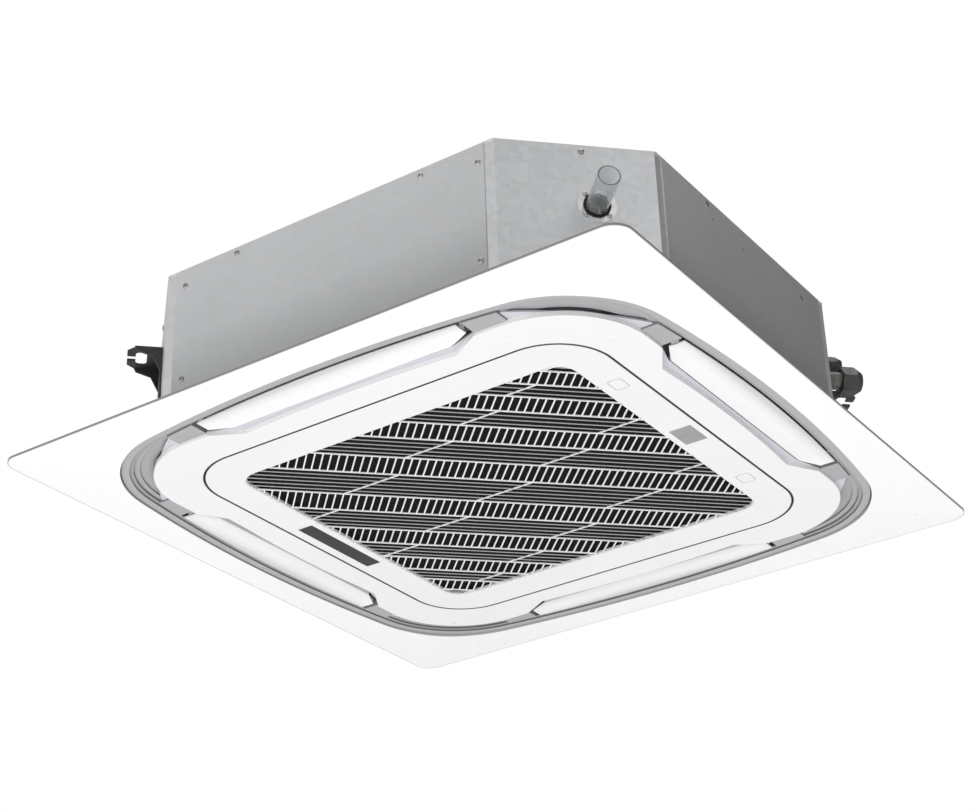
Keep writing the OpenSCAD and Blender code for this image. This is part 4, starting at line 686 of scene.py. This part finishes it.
def strip(bm, p, q, wide, z0, z1):
    """A bar from p to q with rounded lower edges."""
    d = Vector((q[0] - p[0], q[1] - p[1]))
    n = Vector((-d.y, d.x)).normalized() * wide / 2
    k = (wide / 2 - EDGE_ROUND) / (wide / 2)
    section = ((-1, z1), (-1, z0 + EDGE_ROUND), (-k, z0), (k, z0), (1, z0 + EDGE_ROUND), (1, z1))
    loft(bm, [[((e[0] + n.x * s) * MM, (e[1] + n.y * s) * MM, (z - HANG) * MM)
               for s, z in section] for e in (p, q)])


def lattice():
    outline = rounded_rect(OPEN_W - 2 * END_INSET, OPEN_D - 2 * END_INSET, OPEN_R - END_INSET)
    slats, bars = bmesh.new(), bmesh.new()

    def lay(bm, p, q, wide, z0, z1):
        ends = clip(plan(*p), plan(*q), outline)
        if ends:
            strip(bm, *ends, wide, z0, z1)

    for side in (-1, 1):
        for k, spaces in enumerate(BANDS):
            count = spaces if k else spaces // 2
            start = band_start(k) if k else 0.0
            end = start + (spaces * SLAT_PITCH if k else spaces * SLAT_PITCH / 2)
            for i in range(count + 1):
                if side == -1 and k == 0 and i == 0:
                    continue  # the middle slat is laid once
                s = side * (start + i * SLAT_PITCH)
                if i == count or (i == 0 and k > 0):
                    lay(bars, (-BEYOND, s), (BEYOND, s), BAR_W, LAT_LO, BAR_HI)
                else:
                    lay(slats, (-BEYOND, s), (BEYOND, s), SLAT_W, LAT_LO, SLAT_HI)
            for rib in range(-RIBS_EACH_WAY, RIBS_EACH_WAY + 1):
                a, b = side * start, side * end
                lay(bars, (rib_at(a, rib), a), (rib_at(b, rib), b), RIB_W, LAT_LO - RIB_PROUD,
                    BAR_HI)
        for k in range(len(BANDS) - 1):
            b = band_start(k + 1)
            a = b - (BAR_BAND - k * BAR_STEP)
            for i in range(-BARS_EACH_WAY, BARS_EACH_WAY + 1):
                t = rib_at(side * b, 0) + i * BAR_PITCH
                lay(bars, (t, side * a), (t, side * b), BAR_W, LAT_LO, BAR_HI)

    ring = bmesh.new()
    outer = rounded_rect(OPEN_W - 2 * RIM_OUTER, OPEN_D - 2 * RIM_OUTER, OPEN_R)
    inner = rounded_rect(OPEN_W - 2 * RIM_INNER, OPEN_D - 2 * RIM_INNER, OPEN_R - RIM_INNER)
    loops = [[ring.verts.new((x * MM, y * MM, (z - HANG) * MM)) for x, y in points]
             for points, z in ((outer, LAT_LO), (inner, LAT_LO), (inner, LAT_HI), (outer, LAT_HI))]
    for j in range(4):
        a, b = loops[j], loops[(j + 1) % 4]
        for i in range(len(a)):
            ring.faces.new((a[i], a[(i + 1) % len(a)], b[(i + 1) % len(a)], b[i]))

    s = to_object(slats, "lattice_slats", "slat", "grille")
    b = to_object(bars, "lattice_bars", "bar", "grille")
    r = to_object(ring, "lattice_rim", "grille", "grille")
    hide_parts("grille_lattice")


lattice()


# The louvres: blades with a hollowed, glossy face, an upstanding lip, and ribs with the pivot pins

def blade_section(t):
    """The closed section of a blade at t along it: pairs of outward place and height."""
    slant = max(0.0, abs(t) - (BLADE_HALF - BLADE_CUT_X)) / BLADE_CUT_X
    y0 = BLADE_IN + BLADE_CUT_Y * slant
    y1 = BLADE_OUT - BLADE_BOW + math.sqrt(BLADE_BOW ** 2 - t * t)
    end = min(1.0, (BLADE_HALF - abs(t)) / HOLLOW_FADE)
    lower, upper = [], []
    steps = 14
    for i in range(steps + 1):
        k = i / steps
        hollow = BLADE_HOLLOW * math.sin(math.pi * k) ** 0.9 * end ** 0.5
        y = y0 + (y1 - y0) * k
        lower.append((y, BLADE_Z + hollow))
        upper.append((y, BLADE_Z + BLADE_T + HOLLOW_BACK * hollow))
    # Three points round off each lower edge
    lower[0] = (y0 + BLADE_ROLL, lower[0][1])
    lower[-1] = (y1 - BLADE_ROLL, lower[-1][1])
    lower.insert(0, (y0 + BLADE_ROLL / 4, BLADE_Z + 0.3 * BLADE_ROLL))
    lower.append((y1 - BLADE_ROLL / 4, BLADE_Z + 0.3 * BLADE_ROLL))
    lower.insert(0, (y0, BLADE_Z + BLADE_ROLL))
    lower.append((y1, BLADE_Z + BLADE_ROLL))
    return lower + upper[::-1]


def lip_section():
    """The lip's section: two arcs round the pivot axis."""
    points = []
    foot = AXIS_Z - BLADE_Z - BLADE_T / 2
    steps = 8
    for r, order in ((LIP_R, 1), (LIP_R - LIP_T, -1)):
        drops = [foot - (LIP_H - BLADE_T / 2) * i / steps for i in range(steps + 1)]
        arc = [(AXIS_Y - math.sqrt(r * r - h * h), AXIS_Z - h) for h in drops]
        points += arc[::order]
    return points


def round_axis(r, count):
    """Points round the pivot axis, 15 degrees apart."""
    turns = [math.pi * i / 12 for i in range(count)]
    return [(AXIS_Y + r * math.cos(a), AXIS_Z + r * math.sin(a)) for a in turns]


def louvre(name, quarter):
    """A louvre on its side of the panel, quarter turns from the back."""
    turn = Matrix.Rotation(math.radians(90 * quarter), 4, "Z")

    def at(t, y, z):
        return turn @ Vector((t * MM, y * MM, (z - HANG) * MM))

    bm = bmesh.new()
    halves = 24
    along = [-BLADE_HALF, -BLADE_HALF + END_STEP]
    along += [-BLADE_HALF + BLADE_HALF * i / halves for i in range(1, 2 * halves)]
    along += [BLADE_HALF - END_STEP, BLADE_HALF]
    loft(bm, [[at(t, y, z) for y, z in blade_section(t)] for t in along])

    lip = lip_section()
    reach = BLADE_HALF - BLADE_CUT_X
    loft(bm, [[at(t, y, z) for y, z in lip] for t in (-reach, -reach / 2, 0.0, reach / 2, reach)])

    low = BLADE_Z + BLADE_T / 2
    rib = [(AXIS_Y - BOSS_R - FOOT_OUT, low), (AXIS_Y + BOSS_R + FOOT_OUT, low)]
    rib += round_axis(BOSS_R, 13)
    pin = round_axis(PIN_R, 24)
    for side in (-1, 1):
        end = side * BLADE_HALF
        loft(bm, [[at(end - side * k, y, z) for y, z in rib] for k in (RIB_T, 0.0)])
        loft(bm, [[at(end + side * k, y, z) for y, z in pin] for k in (-RIB_T / 2, PIN_OUT)])

    o = to_object(bm, "blade_" + name, "louvre", "vane_" + name, smooth=True)
    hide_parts("louvre_" + name)
    split = o.modifiers.new("soft_edges", "EDGE_SPLIT")
    split.split_angle = math.radians(32)


for i, side in enumerate(("back", "left", "front", "right")):
    louvre(side, i)
